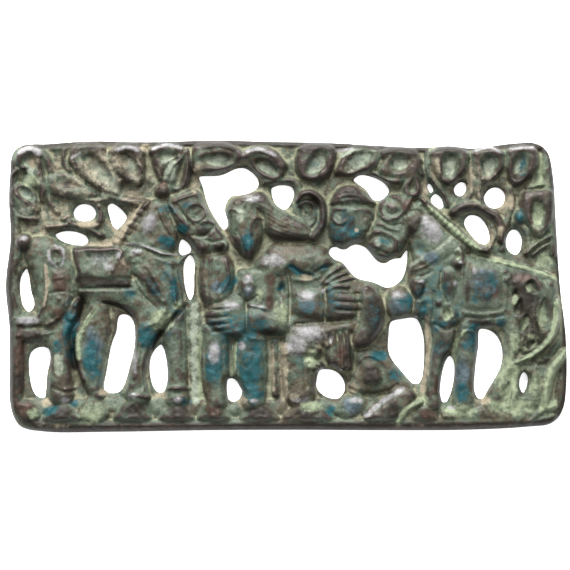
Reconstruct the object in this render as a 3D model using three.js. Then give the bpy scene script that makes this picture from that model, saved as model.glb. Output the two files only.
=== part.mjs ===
import * as THREE from "three";

// An openwork belt plaque, cast in one piece: two wrestlers between two saddled horses.
// All sizes are in millimetres. X runs along the plaque, Y up the picture and Z out of the relief.
// The back is flat at Z 0, and the relief is a field of heights drawn with a few kinds of shape.
const HALF_LENGTH = 72; // reach of the height grid on each side of the middle
const HALF_WIDTH = 38;
const GRID = 0.3; // spacing of the height grid
const WEB = 1.9; // metal between the figures
const EDGE = 1.2; // metal at the rim of an opening and at the outer edge
const EDGE_ROUND = 1.9; // how far in from an edge the surface is rounded over
const EDGE_RISE = 5.2; // the most relief that stands within that distance
const SOFT = 0.45; // how gently one form runs into the next

const OUTLINE_STEP = 2.6; // spacing of the points along the outer edge
const OPENING_STEP = 1.35; // and round the openings
const LEAST_ERROR = 0.01; // a place nearer than this to its triangle needs no point
const NEAREST = 0.4; // no point of the relief lies closer to an edge than this
const TRIANGLES = 7500; // on the relief, without the edges and the back
const ROUNDS = 14; // of adding points, the worst places first
const FIRST_SHARE = 1 / 2.2; // of the points still wanted, in each round but the last
const SHAKE = 0.18 * GRID; // moves the points a little off the grid's lines
const CURVE_STEPS = 4; // straight pieces to each given point of a curve
const LEAF_POINTS = 22; // round a leaf's outline
const LEAF_POINT = 0.42; // how pointed a leaf's end is

const OUTLINE = [
  [-69.4, 29], [-68.8, 33.2], [-66, 35.1], [-60, 35.4], [-50, 36.1], [-35, 35.9], [-18, 36.3], [-5, 36],
  [10, 35.7], [24, 34.9], [34, 34.5], [41, 34.9], [45.4, 34.3], [57, 35.6], [62.2, 35.5], [64.9, 33.4],
  [66.2, 28], [67.1, 14], [68, 0], [69.5, -13], [69.6, -25], [68.7, -31], [66.2, -34.3], [60, -35.3],
  [44, -36.1], [25, -36.2], [0, -36.1], [-20, -36.2], [-45, -36.6], [-61, -36.5], [-67, -35.1],
    [-69.3, -30.5],
  [-69.6, -20], [-69.7, -10], [-70.6, 0], [-69.4, 12], [-69.8, 22],
];

// The openings, from the left to the right.
const OPENINGS = [
  [[-65.3, 4.2], [-66.7, 2.3], [-67, -1.5], [-66, -5.5], [-64.6, -6.6], [-63.4, -4.6], [-64.2, -1.5],
    [-64.7, 2]],
  [[-64.4, -17], [-62.4, -15.5], [-60, -15.7], [-59.4, -18], [-60.2, -22], [-60.5, -26], [-61, -28.2],
    [-63.2, -27.2], [-64.5, -23.5]],
  [[-58.2, 12.6], [-56, 13.5], [-52.4, 13.2], [-50, 11.8], [-50.2, 10.4], [-54, 10.3], [-57, 11.4]],
  [[-53.65, 18.2], [-52.5, 19.9], [-50.6, 20.3], [-48.8, 19.6], [-48, 18], [-48.8, 16.6], [-50.8, 16.1],
    [-52.9, 16.6]],
  [[-45.1, 19.8], [-44.2, 20.5], [-41.4, 18.7], [-40.3, 16.9], [-41.6, 15.2], [-42.6, 14.1], [-43.6, 14.6],
    [-44.7, 17.6]],
  [[-42.2, -7.6], [-40.2, -7.3], [-38.7, -8.9], [-38.3, -14], [-39.4, -19.5], [-41.8, -26.2], [-44, -26.9],
    [-45.9, -26], [-45.3, -21], [-44, -14.3], [-42.9, -11.4]],
  [[-31.7, -14.8], [-34, -17.2], [-34.6, -21], [-33.4, -25.8], [-31.6, -26.9], [-30.3, -24.5],
    [-30.6, -17.5]],
  [[-26.6, 11.5], [-24.6, 10.1], [-24.2, 8.6], [-25.6, 7.8], [-27, 7.7], [-27.3, 9.5]],
  [[-24.5, 7.6], [-23.5, 6.5], [-23.5, 2], [-23.6, -1.5], [-24.3, -3.7], [-25.2, -2.4], [-26.1, 3],
    [-25.8, 6.1]],
  [[-22.2, 27.1], [-20, 27.3], [-16.6, 27.6], [-12.8, 29.2], [-10.6, 29.2], [-7.6, 26.6], [-7.6, 24.5],
    [-10.5, 22.9],
    [-14.4, 22.1], [-15.8, 19.2], [-15, 15.2], [-15.9, 14], [-18.5, 17.3], [-20.3, 21], [-21.3, 24.6]],
  [[-14.9, -23.4], [-13.1, -23.5], [-12.4, -24.8], [-11.5, -26.4], [-12.4, -28.5], [-14.4, -29],
    [-15.2, -26.5]],
  [[-4.1, 24.2], [-1.6, 25.05], [1.1, 24.4], [1.5, 23], [0.4, 20], [-0.8, 19], [-3, 20.3], [-4, 22.6]],
  [[8, -21.2], [11.5, -21.3], [13.7, -23.3], [14.2, -26], [12.6, -28.2], [9.8, -27.9], [7.3, -25.8],
    [7.3, -22.9]],
  [[10.2, 8.2], [11.4, 9.7], [14, 8.9], [16.6, 10.2], [19.3, 9.5], [22.2, 6.3], [24, 5.5], [26.4, 6.7],
    [27.9, 6.7], [29.7, 8.9], [29.6, 5], [28.2, 1.3], [25, -0.5], [21.5, 0.8], [17, 2.1], [13.5, 5.8],
    [11.6, 6.6]],
  [[16.4, 26.3], [17.8, 27.5], [20, 27.4], [24, 25.6], [25.3, 23.5], [23.2, 21.4], [21.5, 21.4],
    [19.4, 24]],
  [[25.7, -9.2], [28.6, -8.4], [32, -8.3], [33.6, -11.6], [34, -18], [33.1, -24], [31.8, -24.7],
    [28.5, -21.5], [25.3, -17], [25.2, -12.2]],
  [[34.8, 24.8], [35.2, 25.5], [36, 24.8], [36.3, 23.6], [35.7, 23.2], [35, 24]],
  [[36.9, 22.9], [38.6, 21.3], [38.6, 19.2], [36.9, 19.8], [35.6, 21.4]],
  [[40.4, -17.6], [41.3, -18.4], [41.6, -22], [40.5, -27.4], [39.1, -29.5], [38.1, -27.4], [38.4, -22.5],
    [39.4, -18.9]],
  [[41.6, 24.5], [43.6, 25.9], [44.6, 24.9], [44.2, 23.1], [42.9, 22.3], [41.7, 23]],
  [[45.4, 17.5], [48, 17], [50.2, 13.6], [50.1, 10.7], [48.4, 10.4], [45.6, 12.8], [44, 15.8]],
  [[47.9, -11], [51.3, -11.7], [53.2, -14.5], [53.4, -19.5], [50, -26], [48.3, -28.5], [46.8, -27],
    [46.8, -21], [47.6, -15]],
  [[49, 22], [50.2, 23.9], [52, 24.5], [53.8, 23.6], [54.3, 21.8], [53.4, 20], [51.6, 19.3], [49.8, 20]],
  [[56, 13.9], [57.4, 13.7], [58.5, 11.4], [57.4, 7.8], [55.5, 8.3], [54.5, 10.2], [55, 12.9]],
  [[58.9, -21.7], [59.9, -22.7], [59.6, -25.6], [58.7, -26.9], [57.8, -24.8], [58.2, -22.6]],
];

const mix = (a, b, t) => a + (b - a) * t;
const clamp = (value, low, high) => Math.min(Math.max(value, low), high);
const ease = (u) => u * u * (3 - 2 * u);
const round = (u) => Math.sqrt(u * (2 - u));

function spline(points, closed) {
  const places = points.map(([x, y]) => new THREE.Vector3(x, y, 0));
  return new THREE.CatmullRomCurve3(places, closed, "centripetal");
}

function curve(points, closed, count) {
  return spline(points, closed).getPoints(count).map((p) => [p.x, p.y]);
}

function boxOf(points, margin) {
  const xs = points.map((p) => p[0]);
  const ys = points.map((p) => p[1]);
  const low = [Math.min(...xs) - margin, Math.min(...ys) - margin];
  return [...low, Math.max(...xs) + margin, Math.max(...ys) + margin];
}

// The value at a share t of the way along a list of numbers, or the number itself.
function along(value, t) {
  if (typeof value === "number") return value;
  const place = clamp(t, 0, 1) * (value.length - 1);
  const first = Math.min(Math.floor(place), value.length - 2);
  return mix(value[first], value[first + 1], place - first);
}

// Distance from a point to a polyline, and the share of the way along it of the nearest place.
function nearest(points, x, y) {
  let best = Infinity;
  let share = 0;
  for (let i = 0; i + 1 < points.length; i += 1) {
    const [ax, ay] = points[i];
    const dx = points[i + 1][0] - ax;
    const dy = points[i + 1][1] - ay;
    const t = clamp(((x - ax) * dx + (y - ay) * dy) / (dx * dx + dy * dy || 1), 0, 1);
    const distance = Math.hypot(x - ax - t * dx, y - ay - t * dy);
    if (distance < best) {
      best = distance;
      share = (i + t) / (points.length - 1);
    }
  }
  return [best, share];
}

function inside(loop, x, y) {
  let within = false;
  for (let i = 0, j = loop.length - 1; i < loop.length; j = i, i += 1) {
    const [ax, ay] = loop[i];
    const [bx, by] = loop[j];
    if (ay > y !== by > y && x < ((bx - ax) * (y - ay)) / (by - ay) + ax) within = !within;
  }
  return within;
}

// Each kind of shape has a box, and gives at (x, y) its share of full rise, 0 at its edge, and the
// share of the way along it.
function line(points, width) {
  const path = curve(points, false, (points.length - 1) * CURVE_STEPS);
  const widest = typeof width === "number" ? width : Math.max(...width);
  return {
    box: boxOf(path, widest / 2),
    at(x, y) {
      const [distance, t] = nearest(path, x, y);
      return [1 - distance / (along(width, t) / 2), t];
    },
  };
}

function oval(x0, y0, rx, ry = rx, turn = 0) {
  const c = Math.cos(turn * THREE.MathUtils.DEG2RAD);
  const s = Math.sin(turn * THREE.MathUtils.DEG2RAD);
  const reach = Math.max(rx, ry);
  return {
    box: [x0 - reach, y0 - reach, x0 + reach, y0 + reach],
    at(x, y) {
      const u = ((x - x0) * c + (y - y0) * s) / rx;
      const v = ((y - y0) * c - (x - x0) * s) / ry;
      return [1 - Math.hypot(u, v), 0];
    },
  };
}

function ring(x0, y0, radius, width) {
  const reach = radius + width / 2;
  return {
    box: [x0 - reach, y0 - reach, x0 + reach, y0 + reach],
    at: (x, y) => [1 - Math.abs(Math.hypot(x - x0, y - y0) - radius) / (width / 2), 0],
  };
}

// The inside of a closed line, which rises over the distance edge.
function within(loop, edge) {
  const closed = [...loop, loop[0]];
  return {
    box: boxOf(loop, 0),
    at: (x, y) => [inside(loop, x, y) ? Math.min(nearest(closed, x, y)[0] / edge, 1) : -1, 0],
  };
}

// A closed form through a few points.
function pad(points, edge) {
  return within(curve(points, true, points.length * CURVE_STEPS).slice(1), edge);
}

// A leaf, round at one end and pointed at the other, with the point towards turn.
function drop(x, y, long, wide, turn, edge = 1.5) {
  const c = Math.cos(turn * THREE.MathUtils.DEG2RAD);
  const s = Math.sin(turn * THREE.MathUtils.DEG2RAD);
  const outline = Array.from({ length: LEAF_POINTS }, (_, i) => {
    const a = (i / LEAF_POINTS) * 2 * Math.PI;
    const u = (long / 2) * Math.cos(a);
    const v = (wide / 2) * Math.sin(a) * (1 - LEAF_POINT * Math.cos(a));
    return [x + u * c - v * s, y + u * s + v * c];
  });
  return within(outline, edge);
}

class Relief {
  constructor() {
    this.columns = Math.round((2 * HALF_LENGTH) / GRID) + 1;
    this.rows = Math.round((2 * HALF_WIDTH) / GRID) + 1;
    this.height = new Float64Array(this.columns * this.rows).fill(WEB);
  }

  each([x0, y0, x1, y1], visit) {
    const first = Math.max(0, Math.ceil((x0 + HALF_LENGTH) / GRID));
    const last = Math.min(this.columns - 1, Math.floor((x1 + HALF_LENGTH) / GRID));
    const low = Math.max(0, Math.ceil((y0 + HALF_WIDTH) / GRID));
    const high = Math.min(this.rows - 1, Math.floor((y1 + HALF_WIDTH) / GRID));
    for (let row = low; row <= high; row += 1) {
      for (let column = first; column <= last; column += 1) {
        visit(row * this.columns + column, column * GRID - HALF_LENGTH, row * GRID - HALF_WIDTH);
      }
    }
  }

  // Raises a rounded form to a height over the back, joined softly to what is there.
  lift(shape, top, soft = SOFT) {
    this.each(shape.box, (i, x, y) => {
      const [u, t] = shape.at(x, y);
      if (u <= 0) return;
      const z = WEB + (along(top, t) - WEB) * round(u);
      const gap = Math.max(0, 1 - Math.abs(z - this.height[i]) / soft);
      this.height[i] = Math.max(z, this.height[i]) + (soft / 4) * gap * gap * Math.min(1, 4 * u);
    });
  }

  // Adds to the surface, or cuts into it where the amount is below zero.
  swell(shape, amount) {
    this.each(shape.box, (i, x, y) => {
      const [u, t] = shape.at(x, y);
      if (u > 0) this.height[i] += along(amount, t) * ease(u);
    });
  }

  // Brings the surface to a floor inside the shape, with sides that take the share slope of it.
  sink(shape, floor, slope = 0.5) {
    this.each(shape.box, (i, x, y) => {
      const [u] = shape.at(x, y);
      if (u > 0) this.height[i] = mix(this.height[i], floor, ease(Math.min(1, u / slope)));
    });
  }

  // A rounded bar along a curve.
  stroke(points, width, top, soft = SOFT) {
    this.lift(line(points, width), top, soft);
  }

  // A closed form through a few points, which rises over the distance edge.
  form(points, edge, top, soft = SOFT) {
    this.lift(pad(points, edge), top, soft);
  }

  // A ridge along a curve, or a groove where the amount is below zero.
  ridge(points, width, amount) {
    this.swell(line(points, width), amount);
  }

  // A leaf like a cup: a rounded rim and a sunken middle.
  cup(x, y, long, wide, turn, rim, floor, top) {
    this.lift(drop(x, y, long, wide, turn, rim), top);
    this.sink(drop(x, y, long - 2 * rim, wide - 2 * rim, turn), floor, 1);
  }

  // Evens the surface out a little, as cast metal is.
  soften() {
    const before = Float64Array.from(this.height);
    const rows = [-this.columns, 0, this.columns];
    for (let i = this.columns + 1; i < before.length - this.columns - 1; i += 1) {
      const sums = rows.map((r) => before[i + r - 1] + 2 * before[i + r] + before[i + r + 1]);
      this.height[i] = (sums[0] + 2 * sums[1] + sums[2]) / 16;
    }
  }

  at(x, y) {
    const u = clamp((x + HALF_LENGTH) / GRID, 0, this.columns - 1.001);
    const v = clamp((y + HALF_WIDTH) / GRID, 0, this.rows - 1.001);
    const i = Math.floor(v) * this.columns + Math.floor(u);
    const low = mix(this.height[i], this.height[i + 1], u % 1);
    return mix(low, mix(this.height[i + this.columns], this.height[i + this.columns + 1], u % 1), v % 1);
  }

  // Rounds the surface over towards the outer edge and the openings.
  roundEdges(loops) {
    const depth = new Float64Array(this.height.length).fill(EDGE_ROUND);
    for (const loop of loops) {
      const closed = [...loop, loop[0]];
      closed.slice(1).forEach((end, k) => {
        this.each(boxOf([closed[k], end], EDGE_ROUND), (i, x, y) => {
          depth[i] = Math.min(depth[i], nearest([closed[k], end], x, y)[0]);
        });
      });
    }
    const [outer, ...openings] = loops;
    this.each([-HALF_LENGTH, -HALF_WIDTH, HALF_LENGTH, HALF_WIDTH], (i, x, y) => {
      if (!inside(outer, x, y)) depth[i] = 0;
    });
    for (const loop of openings) {
      this.each(boxOf(loop, 0), (i, x, y) => {
        if (inside(loop, x, y)) depth[i] = 0;
      });
    }
    this.depth = depth;
    for (let i = 0; i < depth.length; i += 1) {
      const cap = EDGE + EDGE_RISE * round(depth[i] / EDGE_ROUND);
      this.height[i] = EDGE + (this.height[i] - EDGE) * Math.min(1, (cap - EDGE) / EDGE_RISE + 0.001);
    }
  }
}

// The plain rim round the plaque, wider at the left and along the foot.
class Rim {
  height = 3.4;
  width = 3;

  // Draws the rim.
  carve(relief) {
    const w = this.width;
    const z = this.height;
    relief.stroke([[-68.4, 33], [-68.3, 20], [-68, 12]], [w - 0.4, w, w - 0.4], z);
    relief.stroke([[-68, 13], [-69, 5], [-69.3, -1], [-68, -8], [-67.8, -20],
      [-67.8, -33]], w + 0.4, z + 0.3);
    relief.stroke([[-67, -34.7], [-30, -34.9], [0, -34.4], [30, -34.6], [66, -33.4]], w + 0.4, z + 0.2);
    relief.stroke([[64.8, 33], [65.4, 20], [66.4, 8]], [w, w, w - 0.8], z);
    relief.stroke([[-67.5, 34], [-30, 35.4], [10, 35], [40, 34], [63, 34.6]], w - 1.6, z - 1);
  }
}

// The band of leaves like cups over the figures, with the twigs that join them.
class Canopy {
  twig = 3.4;
  leaf = 4.5;

  // Draws the twigs, then the leaves.
  carve(relief) {
    this.twigs(relief);
    this.leftLeaves(relief);
    this.middleLeaves(relief);
    this.rightLeaves(relief);
    this.hoods(relief);
  }

  // Draws the stalks and twigs, each a curve with its width and its height over a plain twig.
  twigs(relief) {
    for (const [points, width, extra] of [
      [[[-61.7, 34.4], [-60, 31.4], [-58.9, 28.4]], 2.2, 0.4],
      [[[-58, 27.5], [-59.8, 25.5], [-59.3, 21], [-57.5, 18.5]], 1.6, 0],
      [[[-55.8, 34], [-55.9, 31], [-54.6, 28.6]], 1.2, 0],
      [[[-56.2, 22.4], [-52.5, 22], [-48.6, 21], [-45.5, 21.4]], 1.9, 0.3],
      [[[-56, 16.5], [-54.5, 17.2]], 1.6, 0],
      [[[-54.4, 15.8], [-51.5, 15], [-48, 14.9], [-46.6, 17], [-47.2, 19.5]], 2, 0.3],
      [[[-69, 18.9], [-66.6, 17], [-63, 16.6]], 1.5, 0.3],
      [[[-60, 14.7], [-54, 14.9], [-49, 13.7], [-46.5, 12.5]], 1.6, 0],
      [[[-46, 22.5], [-42, 21.3], [-36, 20.6]], 2.4, 0.1],
      [[[-5.5, 25.8], [-1.5, 26], [2.2, 25.5], [2.6, 21]], 2, 0],
      [[[34.6, 33.4], [34.8, 28.6], [36.4, 25.6], [38.7, 22.8], [39.9, 20]], 1.6, -0.2],
      [[[45, 33], [45.6, 29], [45.9, 24], [44.5, 21.5], [42.6, 20.4]], 1.5, 0],
      [[[41.4, 18.4], [44, 19.9], [47.8, 19.6], [50.6, 18], [52.6, 15.4], [53.4, 11.6]], 2.7, 0.8],
      [[[47.2, 26.4], [47.6, 22.8], [48.4, 20.2]], 2, 0.5],
      [[[50.7, 15], [51.3, 12], [50.2, 9.4]], 1.2, -0.2],
      [[[55.5, 24], [56, 20.4], [54.6, 16], [53.6, 9]], 1.6, -0.6],
      [[[59.4, 8], [62, 10.6], [65.6, 12.4]], 1.3, 0.4], [[[61, 7.6], [63.4, 9.6], [66.2, 10.8]], 1, 0],
      [[[57, 15.5], [59.6, 13], [60, 9]], 1.8, -0.2],
    ]) {
      relief.stroke(points, width, this.twig + extra);
    }
  }

  // Draws the leaves over the left horse.
  leftLeaves(relief) {
    relief.form([[-68.6, 31], [-67, 34], [-63.8, 34.9], [-61.4, 33], [-60.6, 28], [-59.6, 23.4],
      [-61.4, 20.6], [-63, 25], [-66, 28.6]], 1.8, this.leaf + 0.2);
    this.hollow(relief, [-64.2, 30.2, 7.6, 4.6, -75], 2.4);
    relief.ridge([[-68.8, 27.4], [-67.2, 28.8], [-65.2, 29.4]], 1.6, 1.2);
    relief.ridge([[-61.8, 30.4], [-61, 27.2], [-60, 23.6]], 1.1, 0.5);
    relief.lift(oval(-64.4, 26, 2.4, 2.1), this.leaf - 0.9);
    relief.swell(oval(-67.1, 25.4, 1.5, 2.4), -1.2);
    relief.lift(drop(-65.5, 21.4, 9.4, 6.4, -42, 1.6), this.leaf - 0.2);
    this.hollow(relief, [-65.2, 22.8, 5.6, 3, -42], 2.6);
    relief.ridge([[-67.4, 22.6], [-65.4, 21.4], [-63, 19]], 1.6, 0.5);
    relief.ridge([[-69.2, 20.4], [-66.6, 18.5], [-63.2, 17.8]], 1, -0.9);
    relief.form([[-60.6, 27.2], [-57, 28.4], [-53, 27.6], [-49.6, 25], [-47.2, 22.4], [-51, 21.2],
      [-56, 21.6], [-60, 23.4]], 1.7, this.leaf - 0.3);
    this.hollow(relief, [-54.6, 25.2, 8.2, 4.2, -16], 2.5);
    for (const [outer, inner, floor] of [
      [[-48.1, 29.5, 15.6, 8.8, -50], [-47.8, 29.2, 12.4, 5, -51], 2.4],
      [[-39.8, 30.2, 12.4, 9.2, -62], [-39.6, 30, 8.6, 5.2, -62], 2.4],
      [[-30, 30.6, 11.6, 8.4, -98], [-29.6, 32.6, 5, 5.4, -98], 2.6],
    ]) {
      relief.lift(drop(...outer, 2), this.leaf + 0.3);
      this.hollow(relief, inner, floor);
    }
    for (const points of [
      [[-31.8, 26.6], [-31.2, 29], [-29.9, 31], [-27.4, 32]],
      [[-29.7, 27.6], [-28.5, 30], [-25.4, 31.9]],
    ]) {
      relief.ridge(points, 1.2, 1);
    }
  }

  // Draws the leaves over the wrestlers.
  middleLeaves(relief) {
    relief.form([[-23.8, 28], [-23.6, 35], [-17.5, 36], [-12.6, 34.6], [-10.4, 32], [-12, 30.4],
      [-16.4, 28.2], [-20, 27.4]], 1.8, this.leaf);
    this.hollow(relief, [-17.2, 31.1, 10.6, 4, -2], 2.3);
    relief.stroke([[-20.6, 34.2], [-17, 34.8], [-13.6, 33.8], [-11.2, 32]], 2.4, this.leaf + 0.2);
    relief.form([[-11, 33], [-8.4, 34.6], [-4.6, 34.2], [-1.4, 31.6], [-0.6, 28], [-2.6, 26],
      [-6.4, 26.4], [-9.4, 29.8]], 1.8, this.leaf - 0.2);
    relief.stroke([[-10.4, 32.4], [-7.4, 33.4], [-4, 32.6], [-1.6, 29.8]], 3, this.leaf + 0.3);
    this.hollow(relief, [-5.4, 29.4, 8.6, 3.6, -28], 2.2);
    relief.form([[1.7, 31], [3, 34.8], [7.5, 35.7], [11.6, 34.8], [11.8, 30], [9.6, 26.8], [6.2, 25.8],
      [3, 26.6]], 1.8, this.leaf + 0.2);
    this.hollow(relief, [7.2, 30.5, 9, 4.8, -124], 2.3);
    relief.lift(oval(8.6, 27.6, 2.6, 1.6, 40), this.leaf - 0.4);
    for (const [outer, inner, floor] of [
      [[17.2, 31, 13, 7.8, -150], [17.4, 30.5, 10.4, 3.8, -147], 2.3],
      [[27.6, 30.2, 11.8, 9.2, 200], [27.9, 30.5, 6.8, 5, 215], 2.4],
    ]) {
      relief.lift(drop(...outer, 2), this.leaf + 0.3);
      this.hollow(relief, inner, floor);
    }
    relief.stroke([[21.4, 27.6], [24.4, 26.2], [28, 26.2], [31.2, 28], [32.6, 31]], 2.2, this.leaf - 0.1);
    relief.stroke([[31.6, 33], [32.6, 30.4], [33.4, 27.6]], 1.5, this.leaf - 0.5);
  }

  // Draws the leaves over the right horse.
  rightLeaves(relief) {
    for (const [outer, inner, floor] of [
      [[40.2, 29.9, 10.6, 9.8, -95], [40.3, 29.6, 8.4, 4, -96], 2.3],
      [[49.6, 29.7, 10.4, 8.6, -102], [50.1, 29.6, 7.6, 4.6, -108], 2.4],
      [[57.9, 29.7, 11, 8.4, -104], [57.8, 29.5, 8.6, 4.8, -104], 2.4],
      [[62.4, 17.8, 12.8, 8.8, -86], [62.2, 18, 8.4, 4, -84], 2.3],
    ]) {
      relief.lift(drop(...outer, 2), this.leaf + 0.3);
      this.hollow(relief, inner, floor);
    }
    relief.form([[58.4, 20], [58.6, 23.4], [62, 24], [66.4, 23.8], [66.6, 19],
      [63, 21]], 1.2, this.leaf - 0.1);
    relief.ridge([[54.2, 27], [56.4, 25.9], [58.6, 26.6], [60, 29]], 1, 0.5);
    relief.swell(oval(57.6, 29.2, 1.1, 2.6, -14), 0.5);
    relief.stroke([[59.6, 24.4], [62.4, 25], [65, 25.6]], 1.3, this.twig);
    relief.lift(oval(57.8, 17, 1.5, 2.1), this.leaf - 0.4);
    relief.swell(oval(54.9, 32.8, 0.8, 0.7), 0.5);
  }

  // Draws the broad rolled rims along the tops of the leaves.
  hoods(relief) {
    for (const [points, width] of [
      [[[-66.6, 32.2], [-64, 33.6], [-62, 32.4]], 2.6],
      [[[-53.4, 31.4], [-51, 33.4], [-46.6, 33.6]], 2.8], [[[-43.2, 33], [-40, 34.2], [-37, 33]], 2.8],
      [[[-33.4, 33.4], [-30, 34.4], [-26.8, 33.4]], 2.4], [[[23.8, 32.6], [27, 33.6], [31, 32.4]], 2.6],
      [[[36.6, 32.6], [40, 33.8], [43.8, 32.6]], 2.8], [[[46.8, 32.8], [50, 33.8], [53, 32.4]], 2.4],
      [[[55.2, 33], [58.4, 34], [61, 33.2]], 2.2],
    ]) {
      relief.stroke(points, width, this.leaf + 0.5);
    }
  }

  // Sinks a bowl: its middle, length, width and direction, down to a floor.
  hollow(relief, inner, floor) {
    relief.sink(drop(...inner, inner[3] / 2), floor, 0.9);
  }
}

// The saddled horse at the left, with its head over the left man.
class LeftHorse {
  body = 4.7;
  neck = 5;
  head = 5.6;
  saddle = 5.5;
  nearLeg = 4.8;
  farLeg = 4.3;

  // Draws the trunk, then the legs, the straps, the neck and the head.
  carve(relief) {
    this.trunk(relief);
    this.legs(relief);
    this.thigh(relief);
    this.seat(relief);
    this.collar(relief);
    this.face(relief);
  }

  // Draws the rump with its boss, the tail, the belly and the breast.
  trunk(relief) {
    relief.form([[-66.8, 10.8], [-62, 12.4], [-56, 10.4], [-52, 6], [-52.6, -2], [-54, -8], [-59, -12],
      [-63, -9], [-62.8, -3], [-64.6, 4]], 5, this.body);
    relief.form([[-54, 3], [-46, 2], [-37, 3], [-30, 3], [-26.2, -1], [-26.6, -5], [-30, -10],
      [-33.5, -13], [-37, -10], [-40, -6.6], [-45, -4.6], [-50, -5]], 3.8, this.body);
    relief.form([[-43, 9], [-38, 11], [-31, 9.6], [-27.6, 6.5], [-26.2, 1], [-26.6, -4], [-31, -5],
      [-36, 0], [-40, 3]], 3, this.body + 0.2);
    relief.stroke([[-66.4, 10.5], [-68.6, 5], [-69, -1], [-67.6, -7]], [3.8, 2.4, 2.4, 3], 3.9);
    relief.lift(oval(-65.8, 10.6, 2.5, 2.5), this.body + 1);
    relief.stroke([[-69, -9], [-65.5, -8.8], [-61.5, -8.4]], [3.4, 4.4, 3.4], 4);
    relief.stroke([[-66.4, -12.2], [-61, -12.6], [-55.6, -13.2]], [4, 4, 3], 3.7);
  }

  // Draws the four legs, each with a hoof on the rocks.
  legs(relief) {
    relief.stroke([[-47.2, -5], [-48.2, -11], [-49.4, -17], [-49, -22], [-47.6, -27]],
      [5.4, 8, 8.4, 6.4, 4.4], this.farLeg);
    relief.ridge([[-48.2, -5.4], [-50.8, -9.5], [-52.4, -14.5], [-52.4, -19.5], [-50.9, -23.5]], 1.6, 0.7);
    relief.stroke([[-54.8, -11], [-57.2, -16], [-56.8, -21], [-56.6, -27]],
      [7.6, 6.6, 5.6, 6.8], this.nearLeg);
    relief.ridge([[-50.4, -3], [-52, -8], [-54, -12.4], [-53.5, -18], [-52.8, -24]], 2, [-0.9, -1.7, -1.2]);
    relief.ridge([[-58.4, -25.6], [-55, -26.6], [-52.6, -26]], 1.1, -0.5);
    relief.ridge([[-55.6, -25.8], [-53.4, -25.7]], 0.9, 0.8);
    relief.stroke([[-28, -5], [-28.3, -11], [-27.9, -17], [-27.7, -23], [-27.6, -28.5]],
      [4.6, 6, 5.6, 5.4, 6.6], this.farLeg);
    relief.ridge([[-30.6, -25.9], [-27.6, -25.5], [-24.6, -25.8]], 1.5, 0.7);
    relief.lift(oval(-27.4, -28.2, 2.6, 1.9), this.farLeg + 0.6);
    relief.stroke([[-35, -6], [-35.6, -12], [-36.9, -18], [-37.8, -23], [-37.6, -27.5]],
      [7.4, 6.2, 4.8, 4.6, 6.4], this.nearLeg);
    relief.ridge([[-25.6, -5], [-28.8, -8.4], [-31.6, -11.8], [-33.8, -15.8],
      [-34.3, -20]], 1.7, [-1.4, -1.9, -1.2, -0.4]);
    relief.ridge([[-30.5, -6], [-32.5, -9], [-35.5, -10.5]], 2, 0.5);
    relief.stroke([[-38.8, -27.2], [-37, -27.4], [-35, -27.8]], 1.5, this.nearLeg + 0.4);
  }

  // Draws the ring at the hip and the leaves of the thigh.
  thigh(relief) {
    relief.ridge([[-60.4, 4.8], [-60, 0], [-60.3, -4], [-62, -7.6]], 1.2, 0.8);
    relief.form([[-59.4, 5.6], [-57, 4.6], [-54.2, 5.4], [-53.6, 1], [-53.5, -3.5], [-54.8, -7],
      [-58, -9.4], [-59.8, -6], [-59.5, 0]], 2, this.saddle - 0.2);
    relief.ridge([[-59.2, -2], [-56.4, -1.4], [-53.8, -2]], 1, -0.6);
    relief.lift(oval(-57, -3.4, 1.5, 1.5), this.saddle);
    relief.swell(oval(-56.8, -3.4, 0.9, 1.1), 0.5);
    relief.swell(oval(-54.9, -1.7, 0.6, 0.5), 0.6);
    relief.lift(oval(-57.8, 7.2, 2.7, 3.1), this.saddle + 0.2);
    relief.sink(oval(-57.6, 7.2, 1.8, 2.2), this.saddle - 1.5, 0.7);
    relief.lift(drop(-53.4, -6.2, 7, 2.8, 68, 1.2), this.body + 0.4);
    relief.swell(drop(-53.5, -6.6, 4, 1.3, 68, 0.5), -0.5);
    relief.ridge([[-60, -9.9], [-58.4, -8.9], [-57, -8]], 1.1, 0.8);
    relief.ridge([[-60.4, -12.2], [-58.4, -11.4]], 0.9, 0.6);
  }

  // Draws the saddle: a hollowed upper part, a rolled lower band and its edges.
  seat(relief) {
    relief.form([[-53.5, 9.8], [-47, 9.8], [-41, 9.9], [-39.6, 6], [-38.6, 1.5], [-38.8, -0.7],
      [-45, -1], [-51.6, -0.8], [-52.8, 4]], 1.5, this.saddle);
    relief.sink(pad([[-51.8, 9], [-46, 9.3], [-42, 8.6], [-42.6, 5.4], [-45.5, 3.6],
      [-50.5, 3.8]], 2.4), this.saddle - 1, 1);
    relief.ridge([[-53.2, 9.4], [-52.8, 6.4], [-51.9, 3.9]], 1.3, 0.7);
    relief.ridge([[-43.6, 3.6], [-42, 6.6], [-40.4, 9.2]], 1.5, 0.5);
    relief.swell(pad([[-51.8, 2.9], [-46, 2.4], [-39.2, 2.2], [-38.6, -0.6], [-45, -0.8],
      [-51.6, -0.6]], 0.9), -0.6);
    relief.ridge([[-52, -0.7], [-45, -0.7], [-38.8, -0.5]], 1, -0.8);
    relief.ridge([[-46.4, -4.4], [-42.4, -5.2], [-38.6, -7.4]], 1.6, -0.6);
  }

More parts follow.
